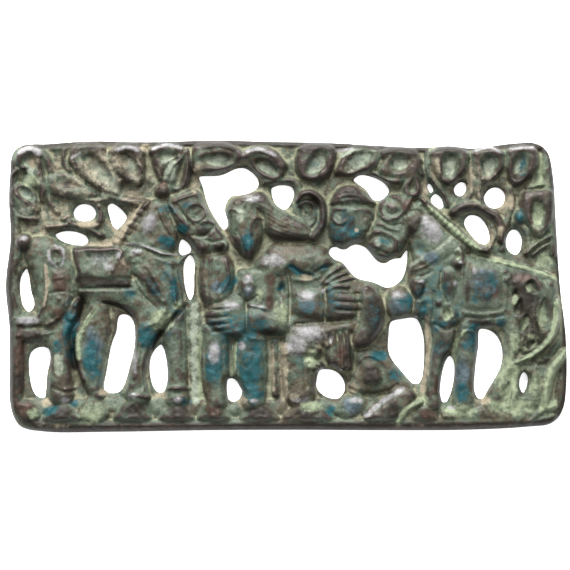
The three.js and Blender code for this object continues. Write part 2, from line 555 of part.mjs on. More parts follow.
  // Draws the neck, its mane and strap, and the boss and leaves of the shoulder.
  collar(relief) {
    relief.form([[-41.4, 10], [-40.4, 14.6], [-37.4, 18.6], [-33.6, 21.6], [-30, 21], [-27.6, 15.5],
      [-27.9, 9], [-31, 7.6], [-36, 8.6]], 3, this.neck);
    relief.lift(oval(-34.2, 15.4, 2.2, 4.4, -22), this.neck + 0.5, 0.8);
    relief.ridge([[-32.6, 19], [-31.9, 16.4], [-30.4, 13.6], [-28.6, 11.6]], 1, -0.6);
    relief.swell(oval(-30.8, 10.6, 2.8, 2.4, -20), -0.5);
    const mane = [[-34.8, 20.6], [-36.6, 18.4], [-38.8, 15.6], [-41, 12.6], [-42.4, 10.6]];
    relief.stroke(mane, [1.8, 2.8, 3.4, 2.8], this.neck + 0.2);
    for (let i = 0; i < 6; i += 1) {
      const x = -36.9 - 0.95 * i;
      const y = 19.3 - 1.6 * i;
      relief.ridge([[x - 1.6, y + 0.7], [x + 1.5, y - 0.7]], 0.9, -0.8);
    }
    relief.ridge([[-34.6, 19], [-36.4, 15.8], [-38.8, 12.8], [-40.4, 11]], 0.9, -0.5);
    relief.ridge([[-40.2, 10.3], [-37, 10.2], [-34, 9], [-31, 8], [-27.6, 7.7]], 1.1, [0.4, 0.8, 1.1, 0.8]);
    relief.ridge([[-39.6, 9.1], [-35.6, 8.7], [-33, 7.4], [-28, 6.5]], 1, -0.5);
    relief.lift(oval(-37.4, 7.2, 2.4, 2.3), this.saddle);
    for (let turn = 0; turn < 360; turn += 60) {
      const x = -37.4 + 1.7 * Math.cos(turn * THREE.MathUtils.DEG2RAD);
      const y = 7.2 + 1.6 * Math.sin(turn * THREE.MathUtils.DEG2RAD);
      relief.swell(oval(x, y, 0.8, 0.8), 0.5);
    }
    relief.swell(oval(-37.4, 7.2, 0.9, 0.9), -0.6);
    relief.form([[-38.6, 5.2], [-38.2, 2.4], [-36, -1], [-33.4, -4], [-30.6, -5.6], [-29, -4.4],
      [-29.9, -1], [-31.4, 2.4], [-33.4, 5.2], [-35.8, 6.2]], 2.2, this.saddle + 0.2);
    relief.ridge([[-35.4, 4.2], [-33.4, 0.4], [-31, -3.4]], 1.4, -0.5);
    relief.ridge([[-38.6, 1.6], [-36.2, -2.4], [-33, -5.4]], 1, -0.7);
    relief.stroke([[-31, 4.4], [-29.2, 1.4], [-28.2, -2], [-28, -4.4]], [1.6, 2, 2.2, 1.6], this.body + 0.5);
    relief.ridge([[-28.6, 4.6], [-27.6, 1], [-27, -3.6]], 0.9, -0.8);
  }

  // Draws the head: the brow, the eye in its ring, the bridle, the muzzle and the ear.
  face(relief) {
    relief.form([[-30.4, 21.6], [-26.5, 23.8], [-22.6, 24], [-20.9, 21], [-18.8, 17.4], [-16.4, 13.4],
      [-14.8, 9.6], [-17, 8], [-22.6, 7.8], [-24.6, 10.8], [-27.6, 13.4], [-29.6, 17.6]], 2.6, this.head);
    relief.lift(oval(-31, 23.6, 2.4, 2.3), this.head);
    relief.ridge([[-28.3, 20.8], [-25.5, 22], [-23, 22.8]], 1, 0.8);
    relief.ridge([[-27.6, 22.2], [-25, 23.6], [-23.2, 24.8]], 1, 0.8);
    relief.swell(ring(-22.9, 18.1, 2.2, 1.2), 0.8);
    relief.swell(oval(-22.9, 18.1, 1.4, 1.4), -0.5);
    relief.swell(oval(-22.8, 18.2, 0.8, 0.8), 0.7);
    relief.ridge([[-29.3, 19.8], [-27.3, 17.2], [-24.9, 15]], [1, 1.3, 1.9], 0.7);
    relief.ridge([[-29.6, 18], [-28, 15.6], [-25.4, 13]], 1, -0.5);
    relief.ridge([[-27.6, 20.2], [-25.8, 17.2], [-23.6, 14.6]], 1, -0.6);
    relief.swell(oval(-21.4, 13.8, 2.2, 1.3, 15), 0.5);
    relief.ridge([[-21.6, 15.4], [-19.9, 16], [-18.4, 15.2]], 1, 0.8);
    relief.ridge([[-23.8, 12.4], [-20.6, 12.3], [-18.6, 14.2]], 1, -0.8);
    relief.ridge([[-18.2, 14.4], [-17.2, 13.4], [-16.2, 11.9]], 1.1, 0.7);
    relief.swell(oval(-19.2, 12.7, 1.2, 0.7, 50), 0.5);
    relief.ridge([[-20.8, 11.4], [-18.6, 10.8], [-16.8, 11]], 0.9, -0.7);
    relief.ridge([[-19.2, 10.8], [-18.8, 8.2]], 0.9, -0.8);
    relief.swell(oval(-21.4, 9.5, 1.7, 1.4), 0.5);
    relief.swell(oval(-16.8, 9.6, 1.3, 1.3), 0.5);
    relief.stroke([[-26.8, 6], [-24.6, 8.2]], 1.6, 3.2);
    relief.cup(-26.6, 28.6, 12, 5.2, 74, 1.2, 2.6, 4.8);
  }
}

// The saddled horse at the right, with its muzzle at the right man's face.
class RightHorse {
  body = 4.5;
  neck = 5;
  head = 5.5;
  saddle = 5.2;
  rump = 5;
  leg = 4.5;

  // Draws the trunk and legs, the straps with their leaves, the saddle, the rump, the neck and the head.
  carve(relief) {
    this.trunk(relief);
    this.straps(relief);
    this.seat(relief);
    this.quarters(relief);
    this.neckAndMane(relief);
    this.face(relief);
  }

  // Draws the breast, the belly and the legs.
  trunk(relief) {
    relief.form([[44, 8], [52, 6.4], [60, 4.4], [66.4, 2], [67, -6], [66, -13], [60, -18], [55, -15],
      [53, -10.6], [46, -11], [42, -10], [38, -12], [34.6, -9], [32, -7], [30.4, -2], [30, 4],
      [36, 10]], 3.4, this.body);
    relief.stroke([[38.6, -8], [38.8, -13], [37.4, -18.6], [36.4, -24], [36.2, -29.4]],
      [7, 5.6, 4.4, 3.8, 4.4], this.leg);
    relief.ridge([[34.6, -9], [34.9, -15], [34.4, -22], [34.6, -27]], 1.1, 0.5);
    relief.stroke([[44.6, -10], [44.6, -16], [44.2, -22], [43.6, -29.6]], [5, 5.4, 5.2, 5.6], this.leg);
    relief.ridge([[42.4, -12.6], [44.4, -11.2], [46.6, -12]], 1.1, 0.6);
    relief.ridge([[42.2, -12], [41.2, -16], [41, -19]], 1.4, -0.8);
    relief.stroke([[55.8, -9], [55.8, -15], [54.6, -21], [52.4, -26], [51, -30]],
      [3.4, 4.4, 5, 5, 5], this.leg - 0.2);
    relief.stroke([[56.6, -20], [57, -24.6], [55.4, -29.6]], [2.8, 3, 5], this.leg - 0.4);
    relief.stroke([[61.6, -20.4], [61.4, -25], [60.8, -29.6]], [3, 3.4, 4.2], this.leg - 0.3);
    relief.ridge([[54.8, -24.4], [55.4, -27], [54.8, -29.6]], 1.2, -0.7);
  }

  // Draws the double strap over the shoulder, its pendant and the three leaves.
  straps(relief) {
    relief.ridge([[29.6, 4.6], [33, 6.4], [36.6, 9.2], [40.4, 12.4]], 1.2, 0.9);
    relief.ridge([[30.4, 3.4], [34, 4.8], [37.4, 7.4], [41, 11]], 1.1, 0.7);
    relief.ridge([[30.6, 2.2], [33.6, 2.4], [36, 3.6]], 1, -0.5);
    relief.lift(drop(32.3, -0.6, 6.2, 4.6, -94, 1.8), this.saddle);
    relief.swell(oval(33, 0.9, 0.9, 0.7), 0.5);
    relief.ridge([[30, 0.6], [30.8, -2], [32.2, -4.2], [33.6, -2], [34.5, 0.8]], 1, -0.5);
    relief.stroke([[32.3, -4], [32, -7.4]], 1.7, this.body);
    for (const y of [-5.4, -8.4]) {
      relief.swell(oval(33.8, y + 0.4, 1.1, 1.6), -0.7);
    }
    relief.lift(drop(42.2, 7.2, 7, 4.6, 78, 1.5), this.saddle + 0.1);
    relief.sink(oval(42.2, 7.3, 1, 1.5), this.body - 0.6, 0.8);
    relief.swell(oval(42.9, 5.7, 0.7, 0.6), 0.5);
    relief.lift(drop(40.3, 0.2, 9.6, 4.6, -82, 2), this.saddle + 0.3);
    relief.swell(oval(41.6, 0.4, 0.7, 1.1), 0.6);
    relief.ridge([[38.1, 3.4], [37.9, -0.6], [39.4, -4.4]], 0.9, -0.8);
    relief.lift(oval(39.6, -6.9, 3.6, 4.1), this.saddle);
    relief.sink(oval(39.4, -6.8, 1.5, 2.1), this.body - 1.1, 0.8);
    relief.lift(oval(41.4, -6.4, 1.7, 2), this.saddle + 0.1);
    relief.lift(oval(37.4, -4.4, 1.4, 1.2), this.saddle + 0.1);
    relief.ridge([[36.6, -9.6], [39.6, -11], [42.4, -9.6]], 1.2, -0.7);
    relief.ridge([[36.2, -1.6], [36.4, -5], [36, -8.4]], 1.1, -0.7);
  }

  // Draws the saddle cloth, its edges and the girth below.
  seat(relief) {
    relief.form([[44, 5.6], [49, 5.4], [53.8, 4], [54.1, -1], [53.8, -6.2], [49, -6.8], [43.6, -6.4],
      [43.2, 0]], 2.2, this.saddle);
    relief.ridge([[43.7, 5.6], [43.2, 0], [43.3, -7], [42.8, -11]], 0.9, 0.7);
    relief.ridge([[45.3, 4.8], [45, 0], [45, -5.8]], 1.3, -0.6);
    relief.ridge([[54.1, 3.4], [54.3, -1], [54, -6.2]], 0.9, 0.6);
    relief.ridge([[44, -7.9], [48.6, -8.2], [53.6, -7.5]], 0.9, -0.6);
    relief.ridge([[53.4, 3.4], [54.6, 3.6], [55.2, 2.4], [54.4, 1.2], [55, 0.2]], 0.9, 0.6);
    relief.swell(oval(56.2, 0.6, 0.9, 0.8), 0.6);
  }

  // Draws the polished rump with its sunken cells, and the bands that curve round it.
  quarters(relief) {
    relief.ridge([[45.4, 8], [50, 6.8], [54, 5.7], [60, 4.3], [64, 3], [66.8, 1.2]], 1.2, 0.9);
    relief.ridge([[47, 6.5], [54, 4.7], [60, 3.2], [65, 1.4]], 0.9, -0.5);
    relief.form([[55, 2.4], [60, 3], [64.6, 1.4], [66.2, -4], [65.6, -10], [62.6, -15], [58.6, -17.6],
      [57.2, -13], [55.2, -8], [54.8, -3]], 2.2, this.rump);
    for (const [x, y, long, wide, turn] of [
      [57.4, -5.4, 4.4, 2, 76], [58.9, -9.2, 5, 1.8, 72], [63.6, -7.2, 8.6, 3.2, 86],
      [60.8, -0.4, 3.6, 2.4, -50], [60.4, -14.6, 3.2, 1.7, 50], [63.8, 1, 3.2, 1.1, -60],
      [56.5, -1.8, 2.2, 1.2, 80],
    ]) {
      relief.sink(drop(x, y, long + 0.4, wide + 0.4, turn, 0.8), this.rump - 1.5, 1);
    }
    relief.stroke([[67, -3], [67, -8], [65.6, -12.6], [62, -16.6], [56.6, -19.2]],
      [1.2, 2, 2.4, 2, 1.2], this.rump);
    relief.ridge([[68.4, -15.6], [65, -19], [58, -20.4]], 1.6, -0.6);
    relief.stroke([[69.2, -16.4], [66.6, -20], [64.4, -24.4], [64, -30]], [1.6, 2.4, 2.6, 2], this.leg + 0.1);
    relief.ridge([[67.6, -21], [66.4, -26], [66.4, -30]], 1.4, -0.6);
  }

  // Draws the neck and the mane along its crest.
  neckAndMane(relief) {
    relief.form([[29.8, 3], [30.4, 9], [28.6, 14], [30.5, 20], [33, 21.6], [37, 17.6], [41, 13.4],
      [45.4, 9.4], [43, 7], [36, 4]], 3.2, this.neck);
    relief.lift(oval(35.2, 14, 2.8, 4.6, 30), this.neck + 0.4, 0.8);
    relief.swell(oval(32.8, 9, 2, 2.6, 20), -0.5);
    const mane = [[33.2, 21.6], [36.2, 18.6], [39.6, 15.4], [43, 12.4], [46, 9.9], [49.6, 8.6]];
    relief.stroke(mane, [1.6, 2.4, 2.8, 2.4, 1.6], this.neck + 0.3);
    for (let i = 0; i < 13; i += 1) {
      const share = i / 12;
      const x = 34.6 + 13.4 * share;
      const y = 20.4 - 12.4 * share + 1.6 * share * share;
    }
    relief.ridge([[33.2, 19.6], [36.6, 16], [40.4, 12.5], [43.4, 10.4], [45.4, 8]], 1, -0.8);
  }

  // Draws the head: the eye in its rings, the cheek, the muzzle with its nostril, and the ear.
  face(relief) {
    relief.form([[30, 22.6], [26, 23], [22.8, 21.4], [21.9, 17], [20, 13.4], [19.4, 9.8], [21.6, 7],
      [24.6, 6.2], [28, 7.8], [29.8, 11], [33.6, 14], [33.4, 17.6], [31.6, 20.4]], 2.6, this.head);
    relief.swell(ring(25.7, 19.5, 2.8, 0.9), 0.6);
    relief.ridge([[22.6, 17.4], [24.4, 16.2], [27, 16.6], [28.8, 18.4]], 0.9, 0.6);
    relief.lift(drop(29.6, 19.8, 5.4, 2.4, 62, 1.2), this.head + 0.5);
    relief.lift(drop(31.8, 15.6, 6, 4.2, 60, 1.8), this.head + 0.4);
    relief.ridge([[29, 17.6], [29.4, 15], [30.4, 12.6]], 1, -0.8);
    relief.ridge([[30.4, 18.4], [32.4, 18.4], [33.8, 17]], 0.9, -0.6);
    relief.ridge([[20.6, 14.4], [22.6, 15.2], [25, 14.2], [27.4, 13.6]], 1, 0.5);
    relief.ridge([[19.4, 11.8], [21.4, 13.2], [24.4, 13], [26.6, 11.2], [26.8, 8.8]], 1, 0.7);
    relief.swell(oval(22.3, 10.2, 1.4, 1.3), 0.5);
    relief.swell(oval(22.2, 10.3, 0.7, 0.7), -0.7);
    relief.swell(oval(27.6, 9.6, 1.4, 1.8), -0.5);
    relief.cup(31, 25, 7.2, 5, 80, 1.3, 2.6, 4.8);
    relief.swell(oval(26.4, 22.4, 1.2, 0.8), 0.6);
  }
}

// The two men in each other's grip.
class Wrestlers {
  body = 4.9;
  arm = 5.9;
  leg = 4.9;
  head = 5.5;
  hair = 5.8;

  // Draws the bodies and legs, the arms, the dress, the two heads and the hair between them.
  carve(relief) {
    this.bodies(relief);
    this.legs(relief);
    this.arms(relief);
    this.dress(relief);
    this.leftHead(relief);
    this.hairLoop(relief);
    this.rightHead(relief);
  }

  // Draws the chest, the back, the shoulder and the hip.
  bodies(relief) {
    relief.form([[-6.5, 7], [0, 10], [7, 10.4], [12, 6.4], [17, 2.4], [22, 0], [23, -6], [20, -13],
      [15, -15], [8, -13], [0, -13], [-8, -12], [-14, -12], [-20, -8], [-21, -2], [-14, -1], [-12.6, 4],
      [-9, 4.6]], 3.6, this.body - 0.5);
    relief.form([[-8.4, 4.4], [-6.4, 8.4], [-3.6, 10.6], [2, 10.7], [8, 10], [11.4, 6.6], [8, 4.4],
      [3.4, 2.6], [0.4, 4.6], [-3, 3]], 3.6, this.arm + 0.1);
    relief.form([[2, -9.4], [9, -9.2], [16.6, -8.6], [17, -12], [12, -12.4], [6, -13.6], [1.6, -16],
      [-1.6, -17], [-1, -13], [0.4, -10.6]], 2.6, this.body + 0.4);
    relief.form([[-22, 5.4], [-20.6, 7.8], [-17.6, 8.3], [-14.6, 7.6], [-13.2, 4], [-13.6, 0],
      [-16, -2.6], [-20, -3], [-22, 0]], 2.4, this.body + 0.4);
    relief.form([[17, -0.6], [20, 0.8], [22.6, -1.4], [24.2, -6], [23.2, -11], [20, -15], [16.6, -16],
      [15.4, -13.4], [17, -9]], 3, this.arm + 0.4);
    relief.lift(oval(27.8, -4.4, 4, 4.2), this.body - 0.3);
    relief.form([[17, -16], [21, -16], [25, -18], [28.6, -22], [31.4, -25.6], [27, -27], [22, -27],
      [16.4, -27.6], [14.8, -25], [16.8, -21]], 2.6, this.leg - 1.1);
    relief.form([[17.9, -22.6], [18.4, -19.6], [20.6, -18.6], [22.6, -19.8], [24, -23], [22.6, -25.2],
      [19, -24.8]], 2, this.body);
    relief.ridge([[16.6, -22.6], [17.6, -19], [20.6, -17.4], [23.6, -19.2], [25, -23]], 1, 0.5);
    relief.ridge([[15.2, -25.6], [19, -27], [24, -26.6], [27.4, -24.6]], 1.3, -0.6);
  }

  // Draws the three legs that show, and the folds of the trousers.
  legs(relief) {
    relief.stroke([[-18.2, -12], [-18.4, -17], [-18.2, -22], [-17.6, -28.4]], [7.4, 7.6, 7.2, 6], this.leg);
    relief.stroke([[-9, -12], [-9.4, -17], [-9.2, -22], [-8.8, -28.4]], [7.4, 9, 8.6, 7], this.leg);
    relief.stroke([[2, -13], [1.8, -17], [2.4, -22], [3, -27.4]], [6.4, 8.6, 8.6, 8], this.leg + 0.2);
    relief.stroke([[-3.2, -14], [-3, -20], [-3, -27]], [2, 2.4, 2], this.leg - 1.4);
    for (const [points, amount] of [
      [[[-20.6, -14], [-20.8, -20], [-20.4, -26]], -0.35],
      [[[-16.4, -14.4], [-16.2, -20], [-15.8, -26]], -0.3],
      [[[-11.9, -15], [-12.2, -20], [-12, -25.4]], -0.4],
      [[[-6.4, -14.6], [-5.8, -20], [-5.6, -26]], -0.35],
      [[[-0.8, -17], [-1, -22], [-0.2, -26.4]], 0.35], [[[4.3, -17.4], [4, -21], [4.6, -25.6]], -0.45],
      [[[-13.2, -15.4], [-13.3, -20], [-12.6, -23]], 0.4],
    ]) {
      relief.ridge(points, 1, amount);
    }
  }

  // Draws the arm that points left and the arm that points right, each with its hand.
  arms(relief) {
    relief.stroke([[-4.4, 3.4], [-5, -1], [-5.2, -6]], [5, 5.6, 5], this.arm - 0.8);
    relief.stroke([[-1, -9.4], [-5, -9], [-10.2, -8.7]], [6.6, 7.6, 8.2], this.arm - 0.2);
    relief.ridge([[-10, -4.9], [-8, -5.1], [-5.6, -5.9]], 1.1, 0.7);
    relief.form([[-10.6, -3.8], [-13, -3.2], [-16.4, -3.6], [-19.8, -5], [-20.8, -7.6], [-20, -10.6],
      [-17, -12.4], [-10.8, -12.8]], 2.2, this.arm - 0.3);
    for (const [y, tip] of [[-6, -20.2], [-7.9, -20.6], [-9.7, -20.2], [-11.3, -18.6]]) {
      relief.ridge([[-14.4, y + 0.3], [-17, y], [tip, y - 0.2]], [0.7, 1.1, 1.1], [-0.3, -0.8, -0.8]);
    }
    relief.ridge([[-10.5, -3.6], [-10.3, -8], [-10.5, -13]], 0.9, -1);
    relief.form([[0.8, -1.4], [4, -0.4], [9, -0.5], [9.4, -4], [9, -8.9], [4, -8.7],
      [1.2, -7.6]], 3.4, this.arm + 0.2);
    relief.form([[9.2, -0.4], [12, -0.1], [15.6, -0.7], [18, -2.6], [18.2, -5.6], [16.8, -8.2],
      [13, -8.7], [9.2, -8.7]], 2, this.arm);
    for (const [y, tip] of [[-2.1, 17.8], [-4.1, 18.2], [-6.2, 17.8]]) {
      relief.ridge([[11.4, y + 0.3], [14, y], [tip, y - 0.1]], [0.7, 1, 1.1], [-0.3, -0.7, -0.9]);
    }
    relief.ridge([[9.3, -0.2], [9.6, -4.4], [9.2, -8.8]], 0.9, -0.9);
    relief.stroke([[9.8, -1.2], [12, -0.2], [14.8, -0.3]], 1.5, this.arm + 0.1);
  }

  // Draws the pleats, the knot, the pendant, the straps and the hanging ornaments.
  dress(relief) {
    for (const x of [-20.3, -18.6, -16.9]) {
      relief.ridge([[x + 0.2, 7], [x, 4.6], [x + 0.1, 2.4]], 0.9, -0.5);
    }
    relief.ridge([[-21, 1.9], [-18.4, 1.5], [-16, 1.9]], 1, -0.7);
    relief.ridge([[-15.4, 7], [-14.9, 4], [-14.8, 1], [-16.6, -1.8]], 1.1, 0.5);
    relief.ridge([[-16.1, 5], [-15.9, 2], [-17.4, -1]], 0.9, -0.6);
    relief.ridge([[-20.4, -0.4], [-18, -1]], 1.1, 0.6);
    relief.lift(oval(-10, 0, 2.7, 3.9), this.arm);
    relief.sink(oval(-9.7, -1.2, 1.4, 2), this.arm - 1, 0.8);
    relief.swell(oval(-9.7, -1.2, 0.8, 1.3), 0.5);
    relief.ridge([[-12.4, -2.4], [-10, -4.1], [-7.6, -2.6]], 0.9, -0.6);
    relief.lift(drop(-1.6, -6.5, 8.4, 4.6, 90, 2.2), this.arm);
    relief.ridge([[-0.3, 4], [0.4, 0.4], [0.5, -4], [0.3, -9]], 1, -1.3);
    relief.swell(oval(-1.5, -0.6, 1.1, 2), -1.6);
    relief.ridge([[0.9, 4.8], [3, 3.3], [5.4, 2.6]], 1.2, -1);
    relief.ridge([[2, 1.4], [5, 1.2], [8, 2.4]], 1.5, 0.5);
    relief.ridge([[6.8, 3.4], [9.2, 4.6], [10.8, 4.8]], 1.1, -0.8);
    for (const points of [
      [[8.2, 0.6], [10.4, 2.8], [14.6, 5.4]], [[9.6, 0.6], [12.2, 2.2], [16, 3.8]],
      [[10.4, 0.2], [13.4, 1.3], [17, 2]],
    ]) {
      relief.stroke(points, [1.1, 1.5, 0.9], this.body + 0.3, 0.1);
    }
    for (const [x, low] of [[9.9, -14.6], [11.6, -18.6], [13.3, -20.4], [14.9, -20.2]]) {
      relief.stroke([[x - 0.4, -11.6], [x, -15], [x + 0.2, low]], [1.6, 1.9, 2.1], this.body + 0.6, 0.1);
    }
    relief.form([[9.4, -13], [15.8, -13], [16.8, -17], [15, -21], [10.4, -20], [9, -17]], 2.2, this.body);
    for (const [x, y, radius] of [[6.2, -15.8, 2.1], [5.4, -19.4, 1.7], [7.2, -20.2, 1.5]]) {
      relief.lift(oval(x, y, radius + 0.5, radius + 0.4), this.leg + 0.7);
      relief.swell(oval(x, y, radius * 0.45, radius * 0.5), -0.8);
    }
    relief.ridge([[15.6, -8.9], [9, -9.2], [2, -9.6]], 1, -0.6);
  }

  // Draws the man who looks left and down: brow, nose, eye, mouth, ear, beard and swept hair.
  leftHead(relief) {
    relief.form([[-15.4, 15], [-15.6, 19], [-13.8, 21.9], [-9, 22.6], [-6, 18], [-6.2, 12], [-8, 8],
      [-10, 6.4], [-12, 8], [-14.2, 11]], 3.2, this.head);
    relief.lift(drop(-9.9, 10.2, 7.8, 5, -82, 2.4), this.head + 0.4, 1);
    relief.stroke([[-15.3, 17.4], [-16, 15.2], [-15.1, 14.4]], 1.5, this.head - 0.8);
    relief.ridge([[-15.3, 18.4], [-13.6, 18.8], [-11.9, 17.9]], 1, 0.5);
    relief.swell(oval(-13.7, 16.9, 1.3, 0.8), -0.5);
    relief.swell(oval(-13.6, 16.9, 0.8, 0.5), 0.5);
    relief.swell(oval(-7.4, 14.6, 1.5, 2), -0.7);
    relief.ridge([[-9, 12.8], [-9.1, 14.8], [-8, 16.8], [-6.2, 16.6]], 1, 0.8);
    relief.form([[-13.6, 21.6], [-10, 23.1], [-6.6, 23.4], [-3.6, 20.8], [1, 17.6], [5.4, 15.4],
      [6.2, 12.4], [4.4, 10.8], [0, 10.6], [-4, 11.6], [-6, 14], [-7, 17.6], [-11, 18.8]], 2.6, this.hair);
  }

  // Draws the loop of hair between the heads.
  hairLoop(relief) {
    relief.lift(oval(4.9, 17.8, 4.2, 5), 3.4);
    relief.sink(oval(4.5, 18.5, 2.2, 2.3), 2.1, 0.8);
    relief.stroke([[2.4, 21.4], [3.6, 22.8], [5.8, 23], [7.9, 21.4], [8.7, 18.4], [8.3, 15], [6.2, 12]],
      [1.6, 2, 2.2, 2.6], this.hair - 0.3);
    relief.stroke([[2.8, 19.9], [4.4, 20.9], [6.2, 20.3], [6.9, 18.4], [6.6, 16.2], [5.4, 14.8]], 1.2, 4);
    relief.swell(oval(4.6, 18.6, 1, 1.2), 0.8);
  }

  // Draws the man who looks right: cap of hair, brow, nose, ear, cheek and chin.
  rightHead(relief) {
    relief.form([[10.4, 19.4], [12, 21.2], [16, 21.4], [20.6, 20], [21.6, 17.6], [20.9, 14.6],
      [19.6, 12], [17, 10.2], [12.4, 9.6], [10.4, 12]], 3, this.head);
    relief.form([[10.6, 19.8], [11, 22.4], [13.4, 24.8], [16.4, 25.2], [19, 23.8], [22, 20.4],
      [17, 19.6]], 2.6, this.hair);
    relief.ridge([[14.2, 18.9], [11.6, 18.8], [11, 16.8], [12.6, 15.2], [14.4, 16]], 1.1, 0.7);
    relief.ridge([[21, 17.6], [21.6, 15.8], [20.6, 15.2]], 1.2, 0.6);
  }
}

// The row of low rocks along the foot.
class Ground {
  rock = 4.5;
  shelf = 3;
  foot = -33.6;

  // Draws the ground, then each rock with a flat face below its peak.
  carve(relief) {
    relief.stroke([[-66, -31], [-40, -30.6], [-10, -30.8], [16, -30.8], [40, -31.4],
      [64, -31]], 5, this.shelf);
    for (const [x, peak, left, right] of [
      [-56, -29.3, -61.8, -51], [-38.4, -27.9, -44, -33.6], [-27.4, -29.4, -32.6, -22.8],
      [-18.8, -28.9, -23, -13.6], [-6.8, -29.6, -12.4, -1.4], [4.6, -28, -2, 12], [34, -29.6, 30.6, 38],
    ]) {
      this.boulder(relief, x, peak, left, right);
    }
    relief.form([[-53, -32], [-51.4, -29], [-48, -26.8], [-46, -28.6], [-44.2, -32], [-46.6, -34.6],
      [-51, -34.4]], 2.4, this.rock - 0.2);
    relief.form([[11.8, -30], [14, -27.6], [18, -27.4], [20, -29.6], [17, -33],
      [13, -33.6]], 2.2, this.rock - 0.6);
    relief.form([[18.4, -33.4], [22.6, -29.6], [27.6, -25.6], [30.4, -25.4], [32, -27.4], [30.4, -30.6],
      [29, -33.6]], 2.2, this.rock + 0.4);
    relief.ridge([[19, -32.4], [23, -29], [27.8, -25.6]], 1.7, 0.5);
    relief.stroke([[27.4, -34], [29.6, -31], [33, -29]], 1.8, this.rock);
    relief.form([[38, -33.4], [38.6, -30.8], [43, -30.4], [48, -30], [52, -28], [58, -29.6],
      [62, -30.6], [61, -33.6], [50, -34]], 2, this.rock - 0.6);
    relief.stroke([[60, -34], [62.8, -31.4], [66.6, -29.8]], 2, this.rock - 0.4);
    relief.form([[-68, -29], [-65, -28.4], [-62.2, -30], [-61.8, -33.4], [-66.4, -34.6]], 2, this.rock - 0.2);
    relief.ridge([[-63.8, -30.4], [-63, -33.4]], 1.2, -0.6);
  }

  // Draws a rock.
  boulder(relief, x, peak, left, right) {
    const waist = (peak + this.foot) / 2;
    relief.form([[left, this.foot], [(left + x) / 2 - 0.6, waist + 0.6], [x - 1, peak], [x + 1, peak],
      [(right + x) / 2 + 0.6, waist + 0.4], [right, this.foot]], 2, this.rock);
    relief.form([[left + 2.4, this.foot], [x, waist + 0.6],
      [right - 2.2, this.foot]], 1.6, this.rock + 0.4, 0.1);
  }
}

